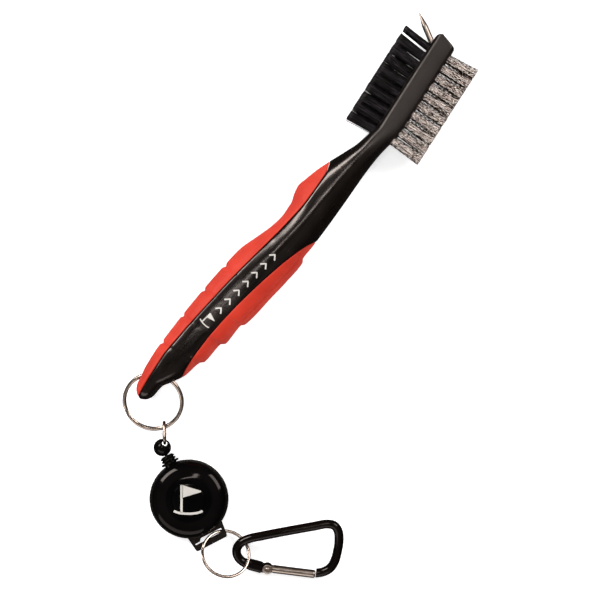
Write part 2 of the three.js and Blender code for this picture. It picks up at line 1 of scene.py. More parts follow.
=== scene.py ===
"""The looks of the club groove brush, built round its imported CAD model.

Lengths in this script are millimetres until a mesh, light or camera is made. The frame is the CAD's: +Y
along the head to its tip, +X to the wire bristles, +Z up from the table, the origin under the head's root.
"""

import json
from math import cos, pi, radians, sin

import bmesh
import bpy
import numpy as np
from mathutils import Matrix, Vector


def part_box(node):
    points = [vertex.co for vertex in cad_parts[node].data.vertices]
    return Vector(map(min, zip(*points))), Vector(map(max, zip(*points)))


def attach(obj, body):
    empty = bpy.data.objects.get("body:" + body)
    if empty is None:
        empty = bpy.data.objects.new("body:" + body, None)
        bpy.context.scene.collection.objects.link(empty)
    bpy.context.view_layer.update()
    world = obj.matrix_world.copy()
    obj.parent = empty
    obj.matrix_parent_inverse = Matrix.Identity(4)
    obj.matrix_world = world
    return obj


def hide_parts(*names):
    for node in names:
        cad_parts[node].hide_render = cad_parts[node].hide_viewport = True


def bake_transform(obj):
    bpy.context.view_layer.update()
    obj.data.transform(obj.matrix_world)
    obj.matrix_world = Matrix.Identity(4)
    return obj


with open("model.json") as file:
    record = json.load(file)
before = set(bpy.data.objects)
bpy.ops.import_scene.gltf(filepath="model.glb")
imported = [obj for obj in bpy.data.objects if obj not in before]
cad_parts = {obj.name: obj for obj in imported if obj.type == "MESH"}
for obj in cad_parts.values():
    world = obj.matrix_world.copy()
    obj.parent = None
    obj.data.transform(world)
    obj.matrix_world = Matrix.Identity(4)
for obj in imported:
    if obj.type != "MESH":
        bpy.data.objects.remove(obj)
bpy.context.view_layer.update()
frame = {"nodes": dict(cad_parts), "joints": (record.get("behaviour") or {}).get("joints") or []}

MM = 0.001
MERGE = 1e-6  # points closer than this, in metres, are one point

# ---- Sizes ----
MID = 10.0  # height of the brush's middle plane
TAIL_Y = -139.75
TAIL_ROUND_Y = -134.5  # where the tail's round end starts
TIP_Y = 51.85

# (y, x) along the edges in plan, from the tip of the head to the tail.
THUMB_EDGE = [
    (51.85, -2.6), (51.4, -3.7), (50.6, -4.5), (49.4, -4.75), (30, -4.9), (12, -4.95), (6.5, -5.2),
    (2, -6.3), (-4, -8), (-10, -10.7), (-16, -13.6), (-22, -16.2), (-28, -18.2), (-31.5, -19.2),
    (-34.5, -18.9), (-39.5, -17.8), (-44.5, -17.9), (-51, -19.3), (-58, -22), (-66, -25.2),
    (-76, -27.1), (-86, -28.6), (-97, -30), (-110, -31.2), (-121, -31.9), (-127, -31.8), (-134, -31),
    (-141, -30.4),
]
FINGER_EDGE = [
    (51.85, -2.6), (50.95, 0.4), (50.05, 3.4), (49.5, 4.35), (48.4, 4.75), (30, 4.8), (12, 4.8),
    (7, 4.5), (2, 3.2), (-4, 2.1), (-13, 1.3), (-26, 0.8), (-38, 0.2), (-50, -0.7), (-55.5, -1.3),
    (-57.4, -0.5), (-67, -1.8), (-76, -3.5), (-91.2, -6.6), (-92.7, -8.0), (-102, -9.0),
    (-103.6, -10.8), (-113, -12.3), (-114.6, -13.9), (-122.5, -16.2), (-127.8, -19.4), (-131, -21.6),
    (-135, -22.2), (-141, -22.3),
]
# (y, x) along the black stripe's edges. Past its ends a stripe edge lies outside the handle.
STRIPE_THUMB = [
    (-13, -17), (-16.5, -13.5), (-22, -12.3), (-34, -12.7), (-46.5, -14.6), (-61, -17.6), (-77, -21.1),
    (-94, -24.2), (-109, -26.6), (-121, -28), (-131, -28), (-143, -27.4),
]
STRIPE_FINGER = [
    (-44, 3), (-46.8, -0.4), (-52, -3.4), (-61, -6.8), (-75, -10.8), (-91, -14.4), (-105, -16.5),
    (-117, -17.2), (-124, -16.6), (-127, -12),
]
# (y, half the thickness)
THICKNESS = [
    (51.85, 9.0), (51.5, 9.6), (50.8, 9.95), (49, 10), (-2, 10), (-14, 9), (-28, 8.3), (-44, 8.8),
    (-64, 9.8), (-84, 10), (-108, 9.7), (-124, 8.6), (-134, 7.3), (-141, 6.6),
]
# (y, how square the section is), where 2 is an ellipse.
SQUARENESS = [
    (52, 6), (14, 5.6), (4, 4), (-8, 2.7), (-26, 2.3), (-60, 2.4), (-90, 2.7), (-120, 2.6), (-141, 2.4),
]
# (y, x) of the soft spine along the top of the neck and the stripe.
SPINE = [
    (52, 0), (2, -3.4), (-8.4, -4.5), (-27.4, -6.5), (-46.4, -10.4), (-58.3, -12.4), (-80, -16.6),
    (-141, -26),
]
SPINE_FALL = 0.13  # how steeply the surface falls away on both sides of the spine
SPINE_SOFT = 0.8  # how broadly the spine is rounded
SPINE_STARTS = (2, 14)  # y where it starts below the head, and the length over which it builds up
SPINE_ENDS = (-84, 26)  # y where it has gone, and the length over which it fades
TAIL_THINNER = 0.35  # how much thinner the very end of the tail is, as a share
THUMB_NOTCHES = [-75.4, -88.4, -101.8, -115.6]
NOTCH_DEPTH = 0.85
NOTCH_HALF = 1.25
HANDLE_TURN = -11  # degrees from +Y to the handle's length, for streaks that run along it
SEAM = 0.07  # half the gap between the stripe and a grip
LIP = 0.3  # how far the surfaces round down into that gap
LIP_WIDTH = 0.5
LIP_FADE = 1.5  # the lip fades within this distance of the handle's own edge
NARROWEST = 0.05  # a grip or stripe narrower than this isn't drawn
FAR = 1e3  # beyond every edge
GROOVE_INSET = 2.4  # from the front grip's edge to the groove beside it
GROOVE_WIDTH = 0.34
GROOVE_DEPTH = 0.5
GROOVE_STARTS = (-52, 8)  # y where it starts, and the length over which it deepens
GROOVE_ENDS = (-91.5, 3)
TIP_LENGTH = 3.6  # the rounded tip of the head, which is drawn more finely
HEAD_ROOT_Y = 8
TAIL_HOLE = (2.8, 4.2)  # its radius inside and at its mouths

ROWS = 10
ROW_PITCH = 4.45
FIRST_ROW_Y = 4.8
TUFT_Z = [6.15, 9.65, 13.15, 16.65]
STAGGER = 0.42  # how far a row's tufts step aside, by turns
NYLON_STAGGER = 0.66  # the same where the nylon rows close up
OPEN_ROWS_FROM = 7  # the nylon rows from this one on stand apart
HEAD_FACE_X = 4.8
TUFT_ROOT_X = 3.4
TUFT_TIP_X = 17.5
TUFT_HOLE_RADIUS = 1.6
GATHERED = 1.45  # a tuft's radius at its root
SPREAD_Z = 1.85  # a tuft's radius at its tip, upwards
LAST_NYLON_ROW = (1.2, 1.0, 0.72)  # the thinner last row's lean, and its radius at root and tip
# A tuft's filaments: how many, their radius, points along each, and how far their tips stray. Then its tips:
# the first row's lean along y, what the last row adds to it, a sway from row to row, and the tuft's radius.
NYLON = dict(
    name="nylon", slot="nylon", crimped=False, count=42, radius=0.13, steps=6, jitter=0.09,
    lean=-0.5, fan=1.8, sway=0.25, sway_turn=2.3, spread=1.98, flare=0.08,
)
WIRE = dict(
    name="wire", slot="bristle_wire", crimped=True, count=25, radius=0.155, steps=32, jitter=0.13,
    lean=-0.7, fan=1.3, sway=0.2, sway_turn=1.7, spread=2.0, flare=0.0,
)
FLARE_TURN = 3.7
FILAMENT_SIDES = 4
FILAMENT_BEND = 1.15  # above 1, a filament bends outwards along its length
FILAMENT_UNEVEN = 0.45  # how much filaments differ in length
FILAMENT_HEIGHTS = (0.3, 19.6)
GOLDEN_ANGLE = 2.39996  # spaces the filaments of a tuft evenly
WAVE = 0.17  # half the width of the wire's crimp
WAVE_LENGTHS = (1.7, 2.3)

PICK_RADIUS = 1.2
PICK_LENGTH = 19.9
PICK_POINT = 6.2
PICK_ANGLE = 145.8
PICK_RECESS = 3.3
PICK_RECESS_X = (-9, 3.2)
PICK_RECESS_END = 60  # y beyond the head's tip, so the slot is open there

BIG_RING = (11.9, 1.5, 1.9)  # radius, wire across, both wires' height
CLIP_RING = (9.8, 1.2, 1.2)
RING_JOG = 26.0  # degrees over which the wire climbs from one turn to the other
RING_GAP = 0.015  # half the gap between the turns
RING_SQUARE = 2.1  # how square the wire's section is
RING_TAPER = (0.72, 0.9)  # the scale of the first sections in from an end
LINK_LENGTH = 8.9
LINK_HEIGHT = 5.6
LINK_HOLD = 1.95
LINK_WIRE = 1.1
LINK_SLIT = 0.12  # half the slit where its ends meet

REEL_RADIUS = 16.3
FRONT_RADIUS = 15.7
REEL_SPLIT = 5.3
REEL_TOP = 11.6
BADGE_TOP = 11.7
CORD_Z = 5.6
CORD_RADIUS = 0.6
CORD_ENDS = (-22.6, -13.6)  # x from the reel's middle, inside the bead and inside the reel
WOUND_TURNS = 3  # in each layer
WOUND_STEPS = 40
WOUND_LAYERS = ((9.5, 3.5, 7.1), (10.7, 7.1, 3.5))  # radius, and the heights where it starts and ends
LUG = [(13.5, -8.0), (20.9, -7.05), (20.9, 7.05), (13.5, 8.0)]
BEAD_X = -23.9
BEAD_RADIUS = 3.6
EYE_THICK = 1.4

CARABINER_PIVOT = (46.3, -174.5, 2.95)
CARABINER_TILT = (12, 7)  # degrees about x and then y
ROD_RADIUS = 1.87
ROD_LINE = [
    (72.6, -163.1), (75.6, -160.6), (77.3, -157.6), (77.3, -153.9), (75.9, -149.4), (73.9, -145.1),
    (71.5, -142), (68.9, -140.9), (66.1, -141.9), (62, -145.6), (54, -153), (46.2, -160.4),
    (42.4, -164.2), (40.4, -167.4), (40.2, -170.6), (42, -173.2), (45.2, -174.3), (48.6, -173.6),
    (52, -172.6),
]
GATE_PIVOT = (55.4, -171.3)
GATE_ANGLE = 24.6
GATE_LENGTH = 19.9
GATE_RADIUS = 1.7
GATE_CLEARANCE = 0.3
GATE_SWEEP = range(-12, 21, 2)  # degrees of the gate's swing over which the rod is cut clear of it
HINGE_NEAR = 2.5  # the hinge end of the rod lies within this distance of the gate's line
HINGE_BLOCK = 0.4  # how much broader the rod is there
HINGE_SQUARE = 1.6  # and how much squarer
HINGE_FROM = (-10, 3)  # along the gate, where that starts and the length over which it grows
TONGUE_FROM = -2.4  # from the gate's pivot, along the gate, to where the rod thins to a tongue
TONGUE_UP = 0.8  # half the tongue's thickness
TONGUE_ACROSS = 2.1
TONGUE_END = 2  # how far past the pivot the tongue reaches

PRINT_STEP = 0.35
PRINT_DEPTH = 0.1  # how far a print reaches into the surface
STRIPE_PRINT = ((-18.6, -91.5), (-11.9, -61.5))  # the first and the last chevron
CHEVRONS = 7
CHEVRON_REACH = 0.9  # half its length along the stripe
CHEVRON_HALF = 1.55
CHEVRON_PEN = 0.62
STRIPE_FLAG = (-20.3, -97.6)
STRIPE_FLAG_SIZE = (5.4, 0.5)  # its height and its pen
BADGE_FLAG_SIZE = (12.5, 0.95)

CAMERA_TURN = radians(32.7)
VIEW_CENTRE = (6.8, -70.6)
VIEW_WIDTH = 246.1  # at the brush's middle plane
CAMERA_HEIGHT = 1010.0
SENSOR = 36.0
PANEL_DISTANCE = 900.0
NECK = (24.0, 18.0)  # where the strip panel's middle points
FLOOR_SIZE = 6000.0
FLOOR_AT = (0, -70, -0.4)
FLOOR_GLOW = 0.6  # the sheet the object lies on is lit a little from under it
# The room's tones, from level with the table (0) to straight up (1).
ROOM = [(0.35, (0.035, 0.03, 0.028)), (0.93, (0.22, 0.21, 0.205)), (0.975, (0.02, 0.018, 0.017))]

SHEEN = (1.0, 0.87, 0.8)  # the warm tone of every highlight
HEAD_BLEND = (-12, 8)  # y over which the neck's gloss gives way to the head's
PAINTED_SHADE_HEIGHTS = (15.4, 18.2)  # painted shade: filaments are darkened fully below the first height and not at all above the second

joints = {j["name"]: j for j in frame["joints"]}
joint_at = {name: Vector(j["pos_m"]) / MM for name, j in joints.items() if "pos_m" in j}


# ---- Curves and outlines ----
def smooth_through(table, y):
    """A smooth curve with no overshoot through a table's (y, value) points, listed from high y to low."""
    at, value = (np.array(column, float)[::-1] for column in zip(*table))
    step = np.diff(at)
    slope = np.diff(value) / step
    inner = np.zeros(len(at) - 2)
    same = slope[:-1] * slope[1:] > 0
    inner[same] = 2 * slope[:-1][same] * slope[1:][same] / (slope[:-1] + slope[1:])[same]
    tangent = np.concatenate([[slope[0]], inner, [slope[-1]]])
    y = np.clip(np.asarray(y, float), at[0], at[-1])
    i = np.clip(np.searchsorted(at, y) - 1, 0, len(step) - 1)
    t = (y - at[i]) / step[i]
    rise = (1 + 2 * t) * (1 - t) ** 2 * value[i] + t * t * (3 - 2 * t) * value[i + 1]
    return rise + step[i] * (t * (1 - t) ** 2 * tangent[i] - t * t * (1 - t) * tangent[i + 1])


def curve_through(points, per_span):
    """Points along a centripetal Catmull-Rom curve."""
    p = [np.array(q, float) for q in points]
    p = [2 * p[0] - p[1], *p, 2 * p[-1] - p[-2]]
    out = []
    for a, b, c, d in zip(p, p[1:], p[2:], p[3:]):
        k = np.cumsum([0, *(np.linalg.norm(v) ** 0.5 for v in (b - a, c - b, d - c))])
        for t in np.linspace(k[1], k[2], per_span, endpoint=False):
            ab = a + (b - a) * (t - k[0]) / (k[1] - k[0])
            bc = b + (c - b) * (t - k[1]) / (k[2] - k[1])
            cd = c + (d - c) * (t - k[2]) / (k[3] - k[2])
            abc = ab + (bc - ab) * (t - k[0]) / (k[2] - k[0])
            bcd = bc + (cd - bc) * (t - k[1]) / (k[3] - k[1])
            out.append(abc + (bcd - abc) * (t - k[1]) / (k[2] - k[1]))
    return np.array([*out, p[-2]])


def rounded(points, radius, steps=4, closed=True):
    """A polygon's or line's points with its corners rounded to a radius, or less where a side is short."""
    p = [Vector(q) for q in points]
    out = []
    for i, corner in enumerate(p):
        if not closed and i in (0, len(p) - 1):
            out.append(tuple(corner))
            continue
        before = p[i - 1] - corner
        after = p[(i + 1) % len(p)] - corner
        cut = min(radius, before.length * 0.45, after.length * 0.45)
        a = corner + before.normalized() * cut
        b = corner + after.normalized() * cut
        for k in range(steps + 1):
            t = k / steps
            out.append(tuple(a * (1 - t) ** 2 + corner * 2 * t * (1 - t) + b * t * t))
    return out


def ellipse_section(across, up, sides, square=2.0):
    """A closed section of superellipse shape."""
    a = np.arange(sides) * 2 * pi / sides
    power = 2 / square
    x = across * np.sign(np.cos(a)) * np.abs(np.cos(a)) ** power
    y = up * np.sign(np.sin(a)) * np.abs(np.sin(a)) ** power
    return np.stack([x, y], 1)


# ---- Meshes ----
def linked(name, data):
    """A new object in the scene for a mesh, camera or light."""
    o = bpy.data.objects.new(name, data)
    bpy.context.scene.collection.objects.link(o)
    return o


def make_object(name, points, faces, sharp=35):
    """A closed mesh object from points in millimetres, with corners sharper than an angle kept sharp."""
    mesh = bpy.data.meshes.new(name)
    mesh.from_pydata((np.asarray(points, float) * MM).tolist(), [], faces)
    o = linked(name, mesh)
    tidy_mesh(o, sharp)
    return o


def shade(o, sharp):
    """Smooth shading, with edges sharper than an angle in degrees kept sharp."""
    o.data.shade_smooth()
    o.data.set_sharp_from_angle(angle=radians(sharp))


def tidy_mesh(o, sharp):
    """Merges doubled points, drops collapsed faces, points the faces outwards and shades the mesh."""
    bm = bmesh.new()
    bm.from_mesh(o.data)
    bmesh.ops.remove_doubles(bm, verts=bm.verts, dist=MERGE)
    bmesh.ops.dissolve_degenerate(bm, edges=bm.edges, dist=MERGE / 2)
    bmesh.ops.recalc_face_normals(bm, faces=bm.faces)
    bm.to_mesh(o.data)
    bm.free()
    shade(o, sharp)


def grid_faces(rings, size, closed_rings=False, caps=True):
    """The faces between rings of the same size, with flat caps on the first and last ring."""
    faces = []
    for r in range(rings if closed_rings else rings - 1):
        a = r * size
        b = (r + 1) % rings * size
        faces += [(a + i, a + (i + 1) % size, b + (i + 1) % size, b + i) for i in range(size)]
    if caps and not closed_rings:
        faces.append(tuple(range(size)))
        faces.append(tuple(range((rings - 1) * size, rings * size)))
    return faces


def turned(name, profile, segments=64, place=None, sharp=35):
    """A body turned about z from a closed profile of (radius, z) points."""
    a = np.arange(segments) * 2 * pi / segments
    rings = [np.stack([r * np.cos(a), r * np.sin(a), np.full(segments, z)], 1) for r, z in profile]
    closed = max(profile[0][0], profile[-1][0]) > 0
    faces = grid_faces(len(rings), segments, closed, caps=False)
    o = make_object(name, np.concatenate(rings), faces, sharp)
    if place is not None:
        move(o, place)
    return o


def cylinder(radius, low, high, ease=0.0):
    """A solid cylinder's profile, with its edges eased if asked for."""
    profile = [(0, low), (radius, low), (radius, high), (0, high)]
    return rounded(profile, ease, 3, closed=False) if ease else profile


def swept(name, path, sections, normal, closed=False, sharp=35):
    """A body along a path. A section's points are (across the path, along the normal)."""
    path = np.asarray(path, float)
    ahead = np.roll(path, -1, 0) - np.roll(path, 1, 0)
    if not closed:
        ahead[0] = path[1] - path[0]
        ahead[-1] = path[-1] - path[-2]
    ahead /= np.linalg.norm(ahead, axis=1)[:, None]
    across = np.cross(ahead, np.asarray(normal, float))
    across /= np.linalg.norm(across, axis=1)[:, None]
    up = np.cross(across, ahead)
    sections = np.asarray(sections, float)
    if sections.ndim == 2:
        sections = np.broadcast_to(sections, (len(path), *sections.shape))
    points = path[:, None] + sections[..., :1] * across[:, None] + sections[..., 1:] * up[:, None]
    faces = grid_faces(len(path), sections.shape[1], closed)
    return make_object(name, points.reshape(-1, 3), faces, sharp)


def slab(name, outline, low, high, inner=None, edge=0.15, sharp=35):
    """A flat plate between two heights, with eased edges. A hole needs as many points as the outline."""
    rings = []
    loops = [(outline, -1)] if inner is None else [(outline, -1), (inner, 1)]
    for loop, out in loops:
        p = np.array(loop, float)
        side = np.roll(p, -1, 0) - np.roll(p, 1, 0)
        side = np.stack([side[:, 1], -side[:, 0]], 1) / np.linalg.norm(side, axis=1)[:, None]
        area = np.sum(p[:, 0] * np.roll(p[:, 1], -1) - p[:, 1] * np.roll(p[:, 0], -1))
        inward = side * (np.sign(area) * out)
        levels = [(low, edge), (low + edge, 0), (high - edge, 0), (high, edge)]
        if out > 0:
            levels.reverse()
        rings += [np.column_stack([p + inward * pull, np.full(len(p), z)]) for z, pull in levels]
    size = len(outline)
    faces = grid_faces(len(rings), size, closed_rings=inner is not None)
    return make_object(name, np.concatenate(rings), faces, sharp)


def move(o, matrix):
    """Moves the mesh itself, by a matrix in millimetres."""
    m = matrix.copy()
    m.translation = m.translation * MM
    o.data.transform(m)


def combine(o, tool, operation, sharp=35):
    """This body with another one cut from it or joined to it. The other is removed."""
    modifier = o.modifiers.new(operation, "BOOLEAN")
    modifier.object = tool
    modifier.operation = operation
    modifier.solver = "EXACT"
    made = bpy.data.meshes.new_from_object(o.evaluated_get(bpy.context.evaluated_depsgraph_get()))
    o.modifiers.clear()
    o.data = made
    bpy.data.objects.remove(tool)
    tidy_mesh(o, sharp)
    return o


def cut(o, tool, sharp=35):
    """Cuts another body out of this one."""
    return combine(o, tool, "DIFFERENCE", sharp)


def joined(name, objects):
    """Several bodies as one object."""
    bm = bmesh.new()
    for o in objects:
        bm.from_mesh(o.data)
        bpy.data.objects.remove(o)
    mesh = bpy.data.meshes.new(name)
    bm.to_mesh(mesh)
    bm.free()
    o = linked(name, mesh)
    shade(o, 35)
    return o


def axes_at(origin, x_axis, z_axis):
    """The matrix of a right-handed frame from its origin, its x axis and a direction near its z axis."""
    x = Vector(x_axis).normalized()
    y = Vector(z_axis).cross(x).normalized()
    z = x.cross(y)
    m = Matrix((x, y, z)).transposed().to_4x4()
    m.translation = Vector(origin)
    return m


# ---- Materials ----
def colour_ramp(tree, value, stops):
    """A colour ramp of (position, colour) stops, from low to high."""
    ramp = tree.nodes.new("ShaderNodeValToRGB")
    while len(ramp.color_ramp.elements) < len(stops):
        ramp.color_ramp.elements.new(1.0)
    for element, (position, colour) in zip(ramp.color_ramp.elements, stops):
        element.position = position
        element.color = (*colour, 1)
    tree.links.new(value, ramp.inputs["Fac"])
    return ramp.outputs["Color"]


LOOKS = {}


class Look:
    """A node material, kept in LOOKS by its name, with the helpers that the looks below share."""

    def __init__(self, name, colour, roughness, metallic=0.0, specular=0.5):
        self.material = bpy.data.materials.new(name)
        LOOKS[name] = self.material
        self.material.use_nodes = True
        self.tree = self.material.node_tree
        self.shader = self.tree.nodes["Principled BSDF"]
        self.shader.inputs["Base Color"].default_value = (*colour, 1)
        self.shader.inputs["Roughness"].default_value = roughness
        self.shader.inputs["Metallic"].default_value = metallic
        self.shader.inputs["Specular IOR Level"].default_value = specular
        self.shader.inputs["Specular Tint"].default_value = (*SHEEN, 1)
        self.place = self.tree.nodes.new("ShaderNodeTexCoord").outputs["Object"]

    def node(self, kind, links, values=None):
        """A new node with some of its inputs linked to outputs and others set to values."""
        n = self.tree.nodes.new("ShaderNode" + kind)
        for key, output in links.items():
            self.tree.links.new(output, n.inputs[key])
        for key, value in (values or {}).items():
            n.inputs[key].default_value = value
        return n

    def sized(self, size, turn=0.0):
        """Object coordinates in units of a size in millimetres, on axes turned about z."""
        sides = size if isinstance(size, tuple) else (size, size, size)
        scale = [side * MM for side in sides]
        values = {"Scale": scale, "Rotation": (0, 0, radians(turn))}
        mapping = self.node("Mapping", {"Vector": self.place}, values)
        mapping.vector_type = "TEXTURE"
        return mapping.outputs["Vector"]

    def along(self, axis):
        """The position along the frame's X, Y or Z, in millimetres."""
        return self.node("SeparateXYZ", {"Vector": self.sized(1.0)}).outputs[axis]

    def noise(self, size, detail=3.0, turn=0.0):
        values = {"Scale": 1.0, "Detail": detail}
        return self.node("TexNoise", {"Vector": self.sized(size, turn)}, values).outputs["Fac"]

    def cells(self, size):
        return self.node("TexVoronoi", {"Vector": self.sized(size)}, {"Scale": 1.0}).outputs["Distance"]

    def ramp(self, value, stops):
        return colour_ramp(self.tree, value, stops)

    def levels(self, value, low, high, start=0.3, end=0.7):
        """A noise value spread between two levels."""
        values = {"From Min": start, "From Max": end, "To Min": low, "To Max": high}
        return self.node("MapRange", {"Value": value}, values).outputs["Result"]

    def add(self, a, b):
        total = self.node("Math", {0: a, 1: b})
        total.operation = "ADD"
        return total.outputs["Value"]

    def feed(self, key, output):
        """Links an output to one of the shader's inputs."""
        self.tree.links.new(output, self.shader.inputs[key])

    def bump(self, height, depth):
        """A bump of a real depth in millimetres."""
        n = self.node("Bump", {"Height": height}, {"Distance": depth * MM})
        self.feed("Normal", n.outputs["Normal"])


def moulded(name, tones, rough, streak, depth, specular=0.5, grain=0.4, matte_head=0.0):
    """Moulded plastic or rubber: a fine grain, a slow change of tone, and rubbed streaks in the gloss.

    The streak is the size of one across, along and down, in millimetres, and the depth is the bump's. The
    matte head is how much rougher the brush's head is than its neck.
    """
    look = Look(name, tones[1], rough[0], specular=specular)
    look.feed("Base Color", look.ramp(look.noise(11, 4), [(0.35, tones[0]), (0.65, tones[1])]))
    rubbed = look.noise(streak, 5, HANDLE_TURN)
    matte = look.levels(look.along("Y"), 0, matte_head, *HEAD_BLEND)
    look.feed("Roughness", look.add(look.levels(rubbed, *rough), matte))
    look.bump(look.add(rubbed, look.cells(grain)), depth)


def polished(name, colour, tint, rough, streak, depth=0.0012):
    """Drawn or turned metal: fine streaks between its colour and its tint, and a slow change of gloss."""
    look = Look(name, colour, rough[0], metallic=1.0)
    streaks = look.noise(streak, 4)
    look.feed("Base Color", look.ramp(streaks, [(0.3, tint), (0.7, colour)]))
    look.feed("Roughness", look.levels(look.noise(5, 3), *rough))
    look.bump(streaks, depth)


def filament(name, stops, rough, metallic, glint_fleck, specular=0.5, shade=0.0):
    """Loose filaments along x, each in its own tone, broken up along it by flecks of painted glints and
    painted shade.

    The shade is painted shade: how much further down the tones those low in the bunch are than those on top.
    """
    look = Look(name, stops[-1][1], rough[0], metallic=metallic, specular=specular)
    own = look.noise((4 * glint_fleck, 0.4, 0.4), 2)
    # the flecks are painted glints and painted shade along each filament, added to its own tone
    tone_and_glints = look.add(own, look.noise((glint_fleck, 0.5, 0.5), 2))
    # painted shade: the tones step down for filaments low in the bunch, where shade falls
    painted_shade_drop = look.levels(look.along("Z"), -shade, 0, *PAINTED_SHADE_HEIGHTS)
    tone = look.add(look.levels(tone_and_glints, 0, 1, 0.8, 1.2), painted_shade_drop)
    look.feed("Base Color", look.ramp(tone, stops))
    look.feed("Roughness", look.levels(own, *rough))


def braided(name, dark, light):
    """A thin braided cord."""
    look = Look(name, light, 0.8)
    strands = look.cells(0.5)
    look.feed("Base Color", look.ramp(strands, [(0.1, light), (0.7, dark)]))
    look.bump(strands, 0.08)


moulded(
    "black_plastic", ((0.002, 0.0013, 0.0011), (0.0055, 0.0038, 0.0031)), (0.15, 0.28),
    streak=(0.5, 14, 0.5), depth=0.005, specular=0.45, matte_head=0.17,
)
moulded(
    "gloss_plastic", ((0.0012, 0.0011, 0.0011), (0.0022, 0.002, 0.002)), (0.05, 0.1),
    streak=(3, 3, 3), depth=0.0005, specular=0.12,
)
moulded(
    "grey_plastic", ((0.005, 0.0038, 0.0033), (0.011, 0.0082, 0.007)), (0.22, 0.36),
    streak=(2, 2, 2), depth=0.004, specular=0.3,
)
moulded(
    "red_rubber", ((0.53, 0.027, 0.012), (0.62, 0.036, 0.016)), (0.5, 0.62), streak=(1.5, 5, 1.5),
    depth=0.008, specular=0.3, grain=0.33,
)
moulded(
    "black_paint", ((0.0015, 0.001, 0.0009), (0.0035, 0.0024, 0.002)), (0.04, 0.09),
    streak=(1.2, 1.2, 1.2), depth=0.001, specular=0.22,
)
moulded(
    "badge_print", ((0.55, 0.52, 0.48), (0.68, 0.65, 0.6)), (0.35, 0.5), streak=(1, 1, 1),
    depth=0.002,
)
# nylon: its flecks are painted glints and painted shade, and shade=0.5 is painted shade low in the bunch
filament(
    "nylon", [(0.45, (0.0012, 0.0012, 0.0016)), (0.95, (0.04, 0.034, 0.044))], (0.25, 0.4),
    metallic=0.0, glint_fleck=3.3, specular=0.3, shade=0.5,
)
# wire: the bright stop is painted glints, the dark stop painted shade between the wires, and shade=0.5
# painted shade low in the bunch
filament(
    "bristle_wire",
    [(0.12, (0.025, 0.014, 0.01)), (0.32, (0.46, 0.34, 0.28)), (0.5, (1.0, 0.9, 0.83))],
    (0.2, 0.34), metallic=0.55, glint_fleck=0.8, shade=0.5,
)
polished("steel", (0.46, 0.37, 0.31), (0.33, 0.255, 0.21), (0.19, 0.27), streak=(9, 9, 4), depth=0.0004)
polished("satin_steel", (0.4, 0.325, 0.275), (0.3, 0.235, 0.195), (0.27, 0.36), streak=(3, 3, 1))
polished("spring_steel", (0.5, 0.5, 0.52), (0.34, 0.34, 0.38), (0.2, 0.35), streak=(1, 1, 1))
braided("cord", (0.004, 0.004, 0.004), (0.02, 0.02, 0.021))


def paint(o, look):
    """Puts a look on a piece in place of any material that it has."""
    o.data.materials.clear()
    o.data.materials.append(LOOKS[look])


def dress(o, body, slot, *nodes, look=None):
    """Gives a piece its look and the body that it rides on, and hides the CAD nodes that it stands for.

    The look is the one with the slot's name unless another is given.
    """
    paint(o, look or slot)
    if body:
        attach(o, body)
    if nodes:
        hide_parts(*nodes)


# ---- Handle and head ----
def thumb_edge(y):
    """x of the thumb side's edge, with its notches."""
    x = smooth_through(THUMB_EDGE, y)
    for at in THUMB_NOTCHES:
        x = x + NOTCH_DEPTH * np.clip(1 - np.abs(y - at) / NOTCH_HALF, 0, 1)
    return x


def past_round(y):
    """How far y is into the tail's round end, from 0 to 1."""
    return np.clip((TAIL_ROUND_Y - y) / (TAIL_ROUND_Y - TAIL_Y), 0, 1)


def edges(y):
    """Both edges at y. Past the start of the tail's round end they close in on the middle."""
    thumb, finger = thumb_edge(y), smooth_through(FINGER_EDGE, y)
    close = np.sqrt(np.clip(1 - past_round(y) ** 2, 0, 1))
    middle, half = (thumb + finger) / 2, (finger - thumb) / 2
    return middle - half * close, middle + half * close


def half_height(x, y):
    """Half the thickness of the handle or head at a point in plan."""
    thumb, finger = edges(y)
    half = np.maximum((finger - thumb) / 2, 1e-6)
    u = np.clip(np.abs(x - (thumb + finger) / 2) / half, 0, 1)
    square = smooth_through(SQUARENESS, y)
    thick = smooth_through(THICKNESS, y) - spine_fall(x, y)
    return thick * (1 - u**square) ** (1 / square) * (1 - TAIL_THINNER * past_round(y) ** 3)


def spine_fall(x, y):
    """How much lower the surface is than the spine, which fades out at the head and along the stripe."""
    away = x - smooth_through(SPINE, y)
    fade = between(y, SPINE_STARTS, SPINE_ENDS)
    return SPINE_FALL * fade * (np.sqrt(away**2 + SPINE_SOFT**2) - SPINE_SOFT)


def between(y, starts, ends):
    """1 between two places along the handle and 0 past them, with (y, length) for each ramp."""
    return np.clip((starts[0] - y) / starts[1], 0, 1) * np.clip((y - ends[0]) / ends[1], 0, 1)


def stations():
    """y of the handle's cross-sections, closer where the outline turns quickly."""
    tip = TIP_Y - TIP_LENGTH * np.linspace(0, 1, 26) ** 1.6
    head = np.linspace(tip[-1], HEAD_ROOT_Y, 26)[1:]
    body = np.linspace(HEAD_ROOT_Y, TAIL_ROUND_Y, 286)[1:]
    tail = TAIL_ROUND_Y - (TAIL_ROUND_Y - TAIL_Y) * np.sin(np.linspace(0, pi / 2, 22))[1:]
    return np.concatenate([tip, head, body, tail])


